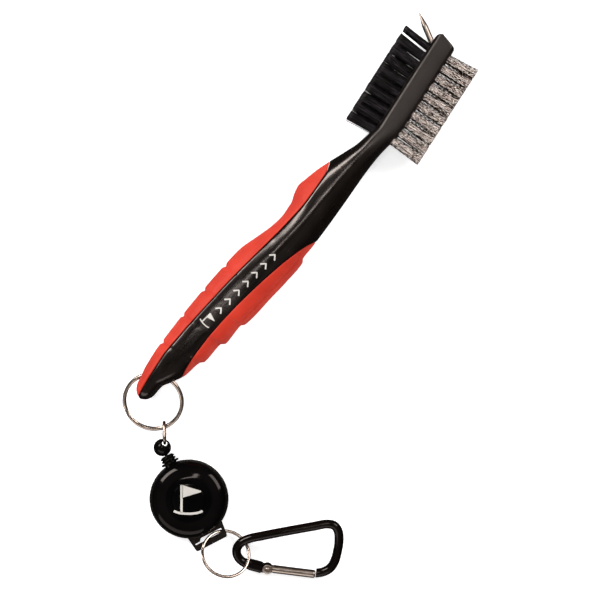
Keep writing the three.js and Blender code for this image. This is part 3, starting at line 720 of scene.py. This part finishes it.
def band(name, side, samples):
    """One of the handle's three lengthwise bodies: the "core", the "thumb" grip or the "finger" grip."""
    y = stations()
    thumb, finger = edges(y)
    on_thumb = np.where(y < STRIPE_THUMB[0][0], smooth_through(STRIPE_THUMB, y), -FAR)
    beside = (y < STRIPE_FINGER[0][0]) & (y > STRIPE_FINGER[-1][0])
    on_finger = np.where(beside, smooth_through(STRIPE_FINGER, y), FAR)
    seam_thumb = np.clip(on_thumb, thumb, finger)
    seam_finger = np.clip(on_finger, thumb, finger)
    low = {"core": seam_thumb + SEAM, "thumb": thumb, "finger": seam_finger + SEAM}[side]
    high = {"core": seam_finger - SEAM, "thumb": seam_thumb - SEAM, "finger": finger}[side]
    if side == "core":
        low = np.where(seam_thumb <= thumb, thumb, low)
        high = np.where(seam_finger >= finger, finger, high)
    keep = high - low > NARROWEST
    if side == "core":
        keep[[0, -1]] = True
        high = np.maximum(high, low)
    y, low, high, thumb, finger = (v[keep] for v in (y, low, high, thumb, finger))
    square = smooth_through(SQUARENESS, y)[:, None]
    middle = ((thumb + finger) / 2)[:, None]
    half = np.maximum((finger - thumb) / 2, 1e-6)[:, None]

    def angle(x):
        """The angle round a section at which its surface is at x."""
        u = np.clip((x[:, None] - middle) / half, -1, 1)
        return np.arccos(np.sign(u) * np.abs(u) ** (square / 2))

    near = np.array([0, 0.012, 0.03, 0.055])  # shares of the width, close together where the lip is
    share = np.concatenate([near, np.linspace(0.09, 0.91, samples), 1 - near[::-1]])[None]
    turn = angle(low) + (angle(high) - angle(low)) * share
    x = middle + half * np.sign(np.cos(turn)) * np.abs(np.cos(turn)) ** (2 / square)
    rows = np.broadcast_to(y[:, None], x.shape)
    z = half_height(x, rows)
    for seam, outer in ((low, thumb), (high, finger)):
        lipped = np.clip(np.abs(seam - outer) / LIP_FADE, 0, 1)[:, None]
        reach = np.clip(1 - np.abs(x - seam[:, None]) / LIP_WIDTH, 0, 1)
        z = z - LIP * lipped * reach**2
    if side == "finger":
        z = z - grip_groove(x, rows, finger[:, None])
    z = np.maximum(z, 0)
    top = np.stack([x, rows, MID + z], -1)
    bottom = np.stack([x, rows, MID - z], -1)[:, ::-1]
    rings = np.concatenate([top, bottom], 1)
    return make_object(name, rings.reshape(-1, 3), grid_faces(len(y), rings.shape[1]), 40)


def grip_groove(x, y, edge):
    """The depth of the groove that runs beside the finger grip's edge down to its first step."""
    across = np.exp(-(((edge - x) - GROOVE_INSET) / GROOVE_WIDTH) ** 2)
    return GROOVE_DEPTH * across * between(y, GROOVE_STARTS, GROOVE_ENDS)


def tail_hole():
    """The hole across the tail, which widens towards its mouths."""
    axis = Vector(joints["big_ring_swing"]["axis"])
    place = axes_at(joint_at["big_ring_swing"], axis.orthogonal(), axis)
    inside, mouth = TAIL_HOLE
    flare = [(0, -20), (mouth, -20), (inside, -6), (inside, 6), (mouth, 20), (0, 20)]
    return turned("tail_hole", flare, 48, place)


def pick_recess():
    """The slot under the head that the pick folds into, open to the nylon side and the tip."""
    start = joint_at["pick_fold"].y - PICK_LENGTH - 2
    left, right = PICK_RECESS_X
    outline = [(left, start), (right, start), (right, PICK_RECESS_END), (left, PICK_RECESS_END)]
    return slab("recess", rounded(outline, 1.2, 5), -2, PICK_RECESS, edge=0.3)


def tuft_roots(side, row):
    """(y, z) of the four tufts in a row, which are staggered, and more so where nylon rows close up."""
    y = FIRST_ROW_Y + row * ROW_PITCH
    stagger = NYLON_STAGGER if side < 0 and row < OPEN_ROWS_FROM else STAGGER
    return [(y + stagger * (-1) ** k, z) for k, z in enumerate(TUFT_Z)]


def tuft_holes(side):
    """The mouths of one face's tuft holes, as one cutting body."""
    holes = []
    for row in range(ROWS):
        for y, z in tuft_roots(side, row):
            place = axes_at((side * HEAD_FACE_X, y, z), (0, 1, 0), (side, 0, 0))
            profile = [(0, -1), (TUFT_HOLE_RADIUS - 0.15, -1), (TUFT_HOLE_RADIUS + 0.1, 0.5), (0, 0.5)]
            holes.append(turned("hole", profile, 20, place))
    return joined("holes", holes)


def add_handle():
    """The core with its holes, and the two grips."""
    core = band("handle_shell", "core", 22)
    cut(core, tail_hole())
    cut(core, pick_recess())
    for side in (-1, 1):
        cut(core, tuft_holes(side))
    dress(core, "brush", "black_plastic", "handle_core")
    for side, node in (("thumb", "grip_back"), ("finger", "grip_front")):
        grip = cut(band(f"{side}_grip", side, 16), tail_hole())
        dress(grip, "brush", "red_rubber", node)


# ---- Prints ----
def strokes(name, lines, height_at, place, lift=0.05):
    """Flat printed strokes laid on a surface. Each is its points and its width at both ends."""
    bodies = []
    for points, first, last in lines:
        fine = []
        for a, b in zip(points, points[1:]):
            steps = max(2, int((Vector(b) - Vector(a)).length / PRINT_STEP))
            fine += [Vector(a).lerp(Vector(b), k / steps) for k in range(steps)]
        fine.append(Vector(points[-1]))
        ring = []
        for i, p in enumerate(fine):
            width = first + (last - first) * i / (len(fine) - 1)
            ahead = (fine[min(i + 1, len(fine) - 1)] - fine[max(i - 1, 0)]).normalized()
            side = Vector((-ahead.y, ahead.x)) * width / 2
            row = [place(p + side * share) for share in (-1, -0.33, 0.33, 1)]
            top = [(x, y, height_at(x, y) + lift) for x, y in row]
            ring += top + [(x, y, z - lift - PRINT_DEPTH) for x, y, z in reversed(top)]
        bodies.append(make_object("stroke", ring, grid_faces(len(fine), 8)))
    return joined(name, bodies)


def pennant(size, pen):
    """A plain flag on a pole over a curved line, with y up, drawn in shares of its size."""
    pole = [(-0.22 * size, -0.4 * size), (-0.22 * size, 0.5 * size)]
    flag = [(-0.2 * size, 0.29 * size), (0.42 * size, 0.29 * size)]
    turns = [radians(a) for a in range(-70, 71, 14)]
    ground = [(0.5 * size * sin(a), -0.3 * size - 0.14 * size * cos(a)) for a in turns]
    return [(pole, pen, pen), (ground, pen, pen), (flag, 0.42 * size, 0.04 * size)]


def add_stripe_print():
    """Plain chevrons and a pennant on the black stripe, pointing along it to the head."""
    start, end = (Vector(p) for p in STRIPE_PRINT)
    along = (end - start).normalized()
    across = Vector((along.y, -along.x))
    flag_at = Vector(STRIPE_FLAG)

    def surface(x, y):
        return MID + float(half_height(np.array(x), np.array(y)))

    def on_stripe(p):
        return tuple(start + along * p.x + across * p.y)

    def upright(p):
        return tuple(flag_at + across * p.x + along * p.y)

    chevrons = []
    for k in range(CHEVRONS):
        middle = (end - start).length * k / (CHEVRONS - 1)
        foot = middle - CHEVRON_REACH
        points = [(foot, -CHEVRON_HALF), (middle + CHEVRON_REACH, 0.0), (foot, CHEVRON_HALF)]
        chevrons.append((points, CHEVRON_PEN, CHEVRON_PEN))
    prints = [
        strokes("chevrons", chevrons, surface, on_stripe),
        strokes("flag", pennant(*STRIPE_FLAG_SIZE), surface, upright),
    ]
    dress(joined("stripe_print", prints), "brush", "badge_print")


# ---- Bristles ----
def tuft_lean(kind, row):
    """How far a row's tips lean along y, and a tuft's radius at its root and its tip."""
    if kind is NYLON and row == ROWS - 1:
        return LAST_NYLON_ROW
    share = row / (ROWS - 1)
    lean = kind["lean"] + kind["fan"] * share + kind["sway"] * sin(row * kind["sway_turn"])
    return lean, GATHERED, kind["spread"] + kind["flare"] * sin(row * FLARE_TURN)


def filament_lines(side, row, kind):
    """The middle lines of one row's filaments: straight nylon or crimped wire."""
    rng = np.random.default_rng(100 * (side + 2) + row)
    count = kind["count"]
    lean, gathered, spread = tuft_lean(kind, row)
    share = np.sqrt((np.arange(count) + 0.5) / count)
    spiral = np.arange(count) * GOLDEN_ANGLE
    disc = np.stack([share * np.cos(spiral), share * np.sin(spiral)], 1)
    t = np.linspace(0, 1, kind["steps"])[None, :, None]
    lines = []
    for y0, z0 in tuft_roots(side, row):
        root = np.array([y0, z0]) + disc * gathered
        tip = np.array([y0 + lean, z0]) + disc * [spread, SPREAD_Z]
        tip = tip + rng.normal(0, kind["jitter"], (count, 2))
        yz = root[:, None] + (tip - root)[:, None] * t**FILAMENT_BEND
        length = TUFT_TIP_X - TUFT_ROOT_X - rng.uniform(0, FILAMENT_UNEVEN, (count, 1))
        x = side * (TUFT_ROOT_X + length * t[..., 0])
        if kind["crimped"]:
            swing = rng.uniform(0, 2 * pi, (2, count, 1))
            wave = WAVE * np.sin(2 * pi * np.abs(x) / rng.uniform(*WAVE_LENGTHS, (count, 1)) + swing[0])
            yz = yz + np.stack([wave * np.cos(swing[1]), wave * np.sin(swing[1])], -1)
        lines.append(np.concatenate([x[..., None], yz], -1))
    lines = np.concatenate(lines)
    lines[..., 2] = np.clip(lines[..., 2], *FILAMENT_HEIGHTS)
    return lines


def bristle_row(side, row):
    """One row of tufts, in which every filament is a thin tube with flat ends."""
    kind = WIRE if side > 0 else NYLON
    lines = filament_lines(side, row, kind)
    a = np.arange(FILAMENT_SIDES) * 2 * pi / FILAMENT_SIDES
    ring = kind["radius"] * np.stack([0 * a, np.cos(a), np.sin(a)], 1)
    points = (lines[:, :, None] + ring).reshape(-1, 3)
    one = np.array(grid_faces(kind["steps"], FILAMENT_SIDES, caps=False))
    size = kind["steps"] * FILAMENT_SIDES
    starts = np.arange(len(lines)) * size
    faces = (one[None] + starts[:, None, None]).reshape(-1, 4).tolist()
    for cap in (np.arange(FILAMENT_SIDES), np.arange(size - FILAMENT_SIDES, size)):
        faces += (cap[None] + starts[:, None]).tolist()
    name = kind["name"]
    mesh = bpy.data.meshes.new(f"{name}_row")
    mesh.from_pydata((points * MM).tolist(), [], faces)
    o = linked(f"{name}_bristles_{row + 1:02d}", mesh)
    if side < 0:
        mesh.flip_normals()
    mesh.shade_smooth()
    dress(o, "brush", kind["slot"], f"{name}_tuft_row_{row + 1:02d}")


# ---- Pick ----
def add_pick():
    """The pick, a cone-ended rod with a flat eye, and the pin that it turns on."""
    pivot = joint_at["pick_fold"]
    cone = [(PICK_RADIUS, PICK_LENGTH - PICK_POINT), (0.28, PICK_LENGTH - 0.5)]
    profile = rounded([(0, 0), (PICK_RADIUS, 0), *cone], 0.5, 3, closed=False)
    profile += [(0.16, PICK_LENGTH - 0.12), (0, PICK_LENGTH)]
    a = radians(PICK_ANGLE)
    ahead = Vector((cos(a), sin(a), 0))
    shaft = turned("groove_pick_steel", profile, 40, axes_at(pivot, (0, 0, 1), ahead), 50)
    eye = turned("eye", cylinder(2.5, -1.1, 1.1, 0.25), 40, Matrix.Translation(pivot))
    pick = combine(shaft, eye, "UNION")
    hole = turned("hole", cylinder(1.1, -3, 3), 32, Matrix.Translation(pivot))
    dress(cut(pick, hole), "pick", "steel", "groove_pick", look="satin_steel")
    pin = [(0, 0.05), (1.3, 0.05), (1.8, 0.16), (2, 0.35), (0.9, 0.35), (0.9, 8.6), (0, 8.7)]
    place = Matrix.Translation((pivot.x, pivot.y, 0))
    dress(turned("pivot_pin", pin, 40, place), "brush", "steel", "pick_pivot_pin")


# ---- Rings ----
def ring_plane(node):
    """The centre and the axis of a flat ring, from its CAD node."""
    co = np.array([v.co for v in frame["nodes"][node].data.vertices]) / MM
    low, high = co.min(0), co.max(0)
    centre = (low + high) / 2
    axis = np.linalg.svd(co - centre, full_matrices=False)[2][2]
    return Vector(centre), Vector(axis if axis[2] > 0 else -axis)


def split_ring(name, node, size, jog_towards, body):
    """Two turns of flat wire that lie on each other, with a jog where it climbs from one to the other."""
    radius, across, both = size
    centre, axis = ring_plane(node)
    start = Vector(jog_towards) - centre
    start = (start - axis * start.dot(axis)).normalized()
    side = axis.cross(start)
    turn = np.arange(0, 720 - RING_JOG + 0.1, 3)
    climb = np.clip((turn - (360 - RING_JOG)) / RING_JOG, 0, 1)
    height = (both / 4) * (2 * climb * climb * (3 - 2 * climb) - 1)
    a = np.radians(turn)[:, None]
    path = np.array(centre) + radius * (np.cos(a) * np.array(start) + np.sin(a) * np.array(side))
    path = path + height[:, None] * np.array(axis)
    section = ellipse_section(across / 2, both / 4 - RING_GAP, 20, RING_SQUARE)
    sections = np.repeat(section[None], len(path), 0)
    for k, scale in enumerate(RING_TAPER):
        sections[k] *= scale
        sections[-1 - k] *= scale
    ring = swept(name, path, sections, axis, sharp=50)
    dress(ring, body, "steel", node)


def add_rings():
    split_ring("handle_ring_coil", "handle_split_ring", BIG_RING, (-25, -149, 2), "big_ring")
    split_ring("clip_ring_coil", "clip_split_ring", CLIP_RING, (30, -183, 8), "small_ring")


def add_jump_ring():
    """A long loop of wire with a slit halfway along one side."""
    start, end = joint_at["link_swing"], joint_at["bead_swivel"]
    half = LINK_HEIGHT / 2
    middle = LINK_LENGTH / 2
    points = [(middle - LINK_SLIT, half)]
    for bend, first in ((half, 90), (LINK_LENGTH - half, -90)):
        turns = [radians(first + 10 * k) for k in range(19)]
        points += [(bend + half * cos(a), half * sin(a)) for a in turns]
    points.append((middle + LINK_SLIT, half))
    path = [(x - LINK_HOLD, 0, z) for x, z in points]
    section = ellipse_section(LINK_WIRE / 2, LINK_WIRE / 2, 16)
    ring = swept("jump_ring_wire", path, section, (0, 1, 0), sharp=50)
    move(ring, axes_at(start, end - start, (0, 0, 1)))
    dress(ring, "link", "steel", "jump_ring")


# ---- Reel ----
reel_low, reel_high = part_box("reel_front_case")
reel_x = Vector(joints["cord_pull"]["axis"])
reel_middle = (reel_low + reel_high) / (2 * MM)
REEL = axes_at((reel_middle.x, reel_middle.y, 0), reel_x, (0, 0, 1))
ALONG_CORD = REEL @ Matrix.Translation((0, 0, CORD_Z)) @ Matrix.Rotation(-pi / 2, 4, "Y")


def case_opening():
    """The hole in the cases' side that the nozzle sits in."""
    return turned("opening", cylinder(2.9, 13.4, 19), 40, ALONG_CORD)


def add_front_case():
    """The domed front, with a shallow seat for the badge."""
    outside = [(14.9, 5.6), (FRONT_RADIUS, 5.6), (FRONT_RADIUS - 0.05, 7.4), (15.3, 8.8), (14.4, 9.9)]
    outside += [(13, 10.6), (11.4, 11.05), (9.4, REEL_TOP - 0.15), (7.2, REEL_TOP)]
    seat = [(7.0, REEL_TOP), (7.0, 10.9), (0, 10.9)]
    inside = [(0, 10.3), (12, 9.9), (14.1, 8.6), (14.9, 7)]
    profile = rounded(outside, 0.5, 4, closed=False) + seat + inside
    case = turned("front_case", profile, 128, REEL)
    dress(cut(case, case_opening()), "reel", "gloss_plastic", "reel_front_case")


def lug():
    """The flat loop on the back case that the small ring hangs from, cut away inside the case."""
    slot = [(17.7, -6.3), (18.3, -6.3), (18.3, 6.3), (16.6, 6.3), (16.6, -3.2), (17.7, -3.9)]
    loop = slab("lug", rounded(LUG, 0.9, 5), 4.2, 5.2, edge=0.22)
    cut(loop, slab("slot", rounded(slot, 0.5, 4), 3, 6, edge=0.1))
    move(loop, REEL)
    core = turned("core", cylinder(15.2, 0, 9), 96, REEL)
    return cut(loop, core)


def add_back_case():
    """The back: a floor with a screw hole, a post inside it, a rim, and the lug."""
    floor = [(1.2, 1.6), (3.0, 1.6), (3.0, 0.25), (3.3, 0), (14.2, 0), (15.4, 0.55), (16.0, 2.0)]
    rim = [(REEL_RADIUS, 4.0), (REEL_RADIUS, REEL_SPLIT - 0.15), (REEL_RADIUS - 0.15, REEL_SPLIT)]
    inside = [(14.9, REEL_SPLIT), (14.9, 1.3), (3.7, 1.3), (3.7, 2.9), (2.3, 2.9), (2.3, 8), (1.2, 8)]
    case = turned("back_case", rounded([*floor, *rim, *inside], 0.25, 2), 128, REEL)
    combine(case, lug(), "UNION")
    dress(cut(case, case_opening()), "reel", "grey_plastic", "reel_back_case")


def add_nozzle():
    """The ribbed sleeve that the cord leaves the reel by."""
    profile = [(0.9, 13.8), (2.6, 13.8), (2.6, 16.45)]
    for radius, start in ((3.85, 16.5), (3.15, 17.75), (3.05, 18.9)):
        rib = [(-0.35, 0), (0, 0.25), (0, 0.6), (-0.35, 0.85)]
        profile += [(radius + across, start + along) for across, along in rib]
        profile += [(2.45, start + 0.95), (2.45, start + 1.12)]
    profile += [(2.3, 20.15), (0.9, 20.15)]
    sleeve = turned("ribbed_sleeve", rounded(profile, 0.2, 3), 64, ALONG_CORD)
    dress(sleeve, "reel", "gloss_plastic", "cord_nozzle")


def add_badge():
    """A glossy disc in the front's seat, with a plain pennant that stands upright in the picture."""
    disc = turned("badge_disc", cylinder(6.7, 11.2, BADGE_TOP, 0.12), 96, REEL)
    dress(disc, "reel", "gloss_plastic")
    turn = Matrix.Rotation(CAMERA_TURN, 2)
    origin = reel_middle.xy

    def place(p):
        return tuple(origin + turn @ p)

    def flat(_x, _y):
        return BADGE_TOP

    print_marks = strokes("badge_pennant", pennant(*BADGE_FLAG_SIZE), flat, place, 0.04)
    dress(print_marks, "reel", "badge_print", "reel_badge")


def add_screw():
    """The case screw, with a cross cut in its head."""
    profile = [(0, 0.2), (1.6, 0.3), (2.4, 0.6), (2.6, 0.95), (2.6, 1.3), (0.9, 1.3), (0.9, 10), (0, 10)]
    screw = turned("case_screw", profile, 48, REEL)
    for turn in (0, 90):
        blade = slab("blade", [(-1.5, -0.28), (1.5, -0.28), (1.5, 0.28), (-1.5, 0.28)], -1, 0.8, edge=0.05)
        move(blade, REEL @ Matrix.Rotation(radians(turn), 4, "Z"))
        cut(screw, blade)
    dress(screw, "reel", "steel", "reel_screw")


def add_winding():
    """The cord wound on the drum, layer over layer."""
    points = []
    steps = WOUND_TURNS * WOUND_STEPS
    for radius, low, high in WOUND_LAYERS:
        for k in range(steps):
            a = 2 * pi * k / WOUND_STEPS
            points.append((radius * cos(a), radius * sin(a), low + (high - low) * k / steps))
    cord = swept("cord_turns", points, ellipse_section(CORD_RADIUS, CORD_RADIUS, 10), (0, 0, 1))
    move(cord, REEL)
    dress(cord, "spool", "cord", "cord_winding")


def add_bead():
    """The stop bead, cut to a flat eye on the jump ring's side."""
    centre = REEL @ Vector((BEAD_X, 0, CORD_Z))
    eye = joint_at["bead_swivel"]
    ahead = eye - centre
    ahead.z = 0
    place = axes_at(centre, ahead, (0, 0, 1))
    arc = np.radians(np.linspace(-90, 90, 33))
    profile = [(BEAD_RADIUS * cos(a), BEAD_RADIUS * sin(a)) for a in arc]
    ball = turned("cord_stop_bead", profile, 64, place, 50)
    for low, high in ((EYE_THICK / 2, 5), (-5, -EYE_THICK / 2)):
        outline = rounded([(0.85, -6), (7, -6), (7, 6), (0.85, 6)], 0.4, 4)
        flat = slab("flat", outline, low, high, edge=0.2)
        move(flat, place)
        cut(ball, flat, 50)
    profile = [(0, -3), (1.5, -3), (1.5, -0.75), (1.1, -0.45), (1.1, 0.45), (1.5, 0.75), (1.5, 3), (0, 3)]
    hole = turned("hole", profile, 32, Matrix.Translation((eye.x, eye.y, CORD_Z)))
    cut(ball, hole, 50)
    bore = turned("bore", cylinder(0.9, 18, -BEAD_X - 0.4), 24, ALONG_CORD)
    dress(cut(ball, bore, 50), "cord_end", "gloss_plastic", "cord_bead")


def add_cord():
    """The cord between the bead and the reel."""
    start, end = (REEL @ Vector((x, 0, CORD_Z)) for x in CORD_ENDS)
    path = [start.lerp(end, k / 30) for k in range(31)]
    cord = swept("pull_cord", path, ellipse_section(CORD_RADIUS, CORD_RADIUS, 12), (0, 0, 1))
    dress(cord, None, "cord", "cord_lead")
    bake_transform(cord)


# ---- Carabiner ----
def carabiner_place():
    """The carabiner's own plane, tilted about the place where the small ring holds it."""
    pivot = Vector(CARABINER_PIVOT)
    about_x, about_y = (radians(angle) for angle in CARABINER_TILT)
    tilt = Matrix.Rotation(about_x, 4, "X") @ Matrix.Rotation(about_y, 4, "Y")
    return Matrix.Translation(pivot) @ tilt @ Matrix.Translation((-pivot.x, -pivot.y, 0))


CARABINER = carabiner_place()
GATE = CARABINER @ Matrix.Translation((*GATE_PIVOT, 0)) @ Matrix.Rotation(radians(GATE_ANGLE), 4, "Z")


def rod_section(x, y):
    """The rod's section at a point of its line: round, squarer near the hinge, and a thin tongue there."""
    a = radians(GATE_ANGLE)
    east, north = x - GATE_PIVOT[0], y - GATE_PIVOT[1]
    along = east * cos(a) + north * sin(a)
    beside = abs(north * cos(a) - east * sin(a))
    if beside >= HINGE_NEAR or along >= TONGUE_END:
        return ellipse_section(ROD_RADIUS, ROD_RADIUS, 32, 2)
    swell = np.clip((along - HINGE_FROM[0]) / HINGE_FROM[1], 0, 1)
    across, up = ROD_RADIUS + HINGE_BLOCK * swell, ROD_RADIUS
    if along > TONGUE_FROM:
        rounding = (1 - max(0, along / TONGUE_END) ** 2) ** 0.5
        across, up = TONGUE_ACROSS * max(0.35, rounding), TONGUE_UP
    return ellipse_section(across, up, 32, 2 + HINGE_SQUARE * swell)


def add_rod():
    """The bent rod, cut back where the gate sweeps."""
    a = radians(GATE_ANGLE)
    reaches = (-2.45, -2.35, -1, 0.4, 1.3, 1.8)
    hinge = [(GATE_PIVOT[0] + cos(a) * s, GATE_PIVOT[1] + sin(a) * s) for s in reaches]
    line = [*curve_through(ROD_LINE, 8), *hinge]
    path = [(x, y, 0) for x, y in line]
    sections = [rod_section(x, y) for x, y in line]
    rod = swept("carabiner_rod", path, sections, (0, 0, 1), sharp=40)
    reach = GATE_LENGTH + GATE_CLEARANCE
    arc = [radians(d) for d in GATE_SWEEP]
    outline = [(6, -6), *((reach * cos(b), reach * sin(b)) for b in arc), (6, 6)]
    sweep = slab("sweep", outline, -4, 4, edge=0.01)
    move(sweep, Matrix.Translation((*GATE_PIVOT, 0)) @ Matrix.Rotation(a, 4, "Z"))
    cut(rod, sweep, 40)
    move(rod, CARABINER)
    dress(rod, "carabiner", "black_paint", "carabiner_body")


def add_gate():
    """The sprung tube: a rolled free end, and at the hinge a fork that straddles the rod's tongue."""
    hinge_end = [(0, -1.0), (1.35, -1.0), (GATE_RADIUS, -0.2)]
    free_end = [(GATE_RADIUS, 19.2), (1.5, 19.75), (1.2, GATE_LENGTH), (0, GATE_LENGTH)]
    profile = rounded(hinge_end + free_end, 0.3, 3, closed=False)
    turn = Matrix.Rotation(pi / 2, 4, "Y")
    tube = turned("gate_sleeve", profile, 48, turn)
    combine(tube, turned("ear", cylinder(2.05, -1.9, 1.9, 0.3), 40), "UNION")
    slot = slab("slot", rounded([(-4, -4), (2.6, -4), (2.6, 4), (-4, 4)], 0.5, 4), -1.1, 1.1, edge=0.02)
    cut(tube, slot)
    cut(tube, turned("bore", cylinder(1.15, 2, 16), 32, turn))
    move(tube, GATE)
    dress(tube, "gate", "steel", "gate_tube", look="satin_steel")


def add_rivet():
    """A rivet with the same rolled head at both ends."""
    head = [(0.55, 1.95), (1.0, 1.95), (1.0, 2.12), (0.8, 2.3), (0.55, 2.28), (0.4, 2.05), (0, 2.05)]
    profile = [(r, -z) for r, z in reversed(head)] + head
    rivet = turned("hinge_rivet", profile, 32, CARABINER @ Matrix.Translation((*GATE_PIVOT, 0)))
    dress(rivet, "carabiner", "steel", "gate_rivet", look="satin_steel")


# ---- Inside parts ----
def dress_inside():
    """CAD nodes that stay as they are, inside the reel and the gate."""
    for node, slot in (
        ("spool", "grey_plastic"),
        ("power_spring", "spring_steel"),
        ("gate_spring", "spring_steel"),
        ("gate_plunger", "steel"),
    ):
        paint(frame["nodes"][node], slot)


# ---- Camera, floor and light ----
def add_camera():
    """A camera that looks straight down."""
    data = bpy.data.cameras.new("camera")
    data.sensor_width = SENSOR
    data.lens = SENSOR * (CAMERA_HEIGHT - MID) / VIEW_WIDTH
    data.clip_start = 0.01
    camera = linked("camera", data)
    camera.location = Vector((*VIEW_CENTRE, CAMERA_HEIGHT)) * MM
    camera.rotation_euler = (0, 0, CAMERA_TURN)
    bpy.context.scene.camera = camera


def add_floor():
    """The pale sheet that the object lies on."""
    bpy.ops.mesh.primitive_plane_add(size=FLOOR_SIZE * MM, location=Vector(FLOOR_AT) * MM)
    floor = bpy.context.object
    floor.name = "floor"
    look = Look("floor", (0.95, 0.95, 0.95), 0.9, specular=0.1)
    look.shader.inputs["Emission Color"].default_value = (1, 1, 1, 1)
    look.shader.inputs["Emission Strength"].default_value = FLOOR_GLOW
    floor.data.materials.append(look.material)
    floor.visible_glossy = False  # metal and gloss mirror the dark room rather than the bright sheet


def add_softbox(name, bearing, elevation, size, power, aim=VIEW_CENTRE):
    """A soft panel that faces a point on the table. Its bearing is in degrees from the picture's right."""
    data = bpy.data.lights.new(name, "AREA")
    data.shape = "RECTANGLE"
    data.size, data.size_y = (s * MM for s in size)
    data.energy = power
    light = linked(name, data)
    a = CAMERA_TURN + radians(bearing)
    e = radians(elevation)
    back = Vector((cos(a) * cos(e), sin(a) * cos(e), sin(e)))
    light.location = (Vector((*aim, 0)) + back * PANEL_DISTANCE) * MM
    light.rotation_euler = back.to_track_quat("Z", "Y").to_euler()


def add_world():
    """A plain room, grey high up and dark towards the horizon, with the dark camera straight overhead."""
    world = bpy.data.worlds.new("studio")
    bpy.context.scene.world = world
    world.use_nodes = True
    tree = world.node_tree
    direction = tree.nodes.new("ShaderNodeTexCoord").outputs["Generated"]
    split = tree.nodes.new("ShaderNodeSeparateXYZ")
    tree.links.new(direction, split.inputs["Vector"])
    tone = colour_ramp(tree, split.outputs["Z"], ROOM)
    tree.links.new(tone, tree.nodes["Background"].inputs["Color"])


def add_lights():
    """Four panels: one from each side, a long low one in front, and a strip for the gloss of the neck."""
    add_softbox("key", 142, 42, (420, 260), 6.5)
    add_softbox("fill", 28, 44, (420, 300), 4.2)
    add_softbox("front", 250, 28, (1100, 420), 3.5)
    add_softbox("strip", 140, 82, (320, 60), 0.85, NECK)
    bpy.context.scene.view_settings.view_transform = "Standard"


# ---- Assembly ----
add_camera()
add_floor()
add_world()
add_lights()
add_handle()
add_stripe_print()
for tuft_row in range(ROWS):
    bristle_row(-1, tuft_row)
    bristle_row(1, tuft_row)
add_pick()
add_rings()
add_jump_ring()
add_front_case()
add_back_case()
add_nozzle()
add_badge()
add_screw()
add_winding()
add_bead()
add_cord()
add_rod()
add_gate()
add_rivet()
dress_inside()
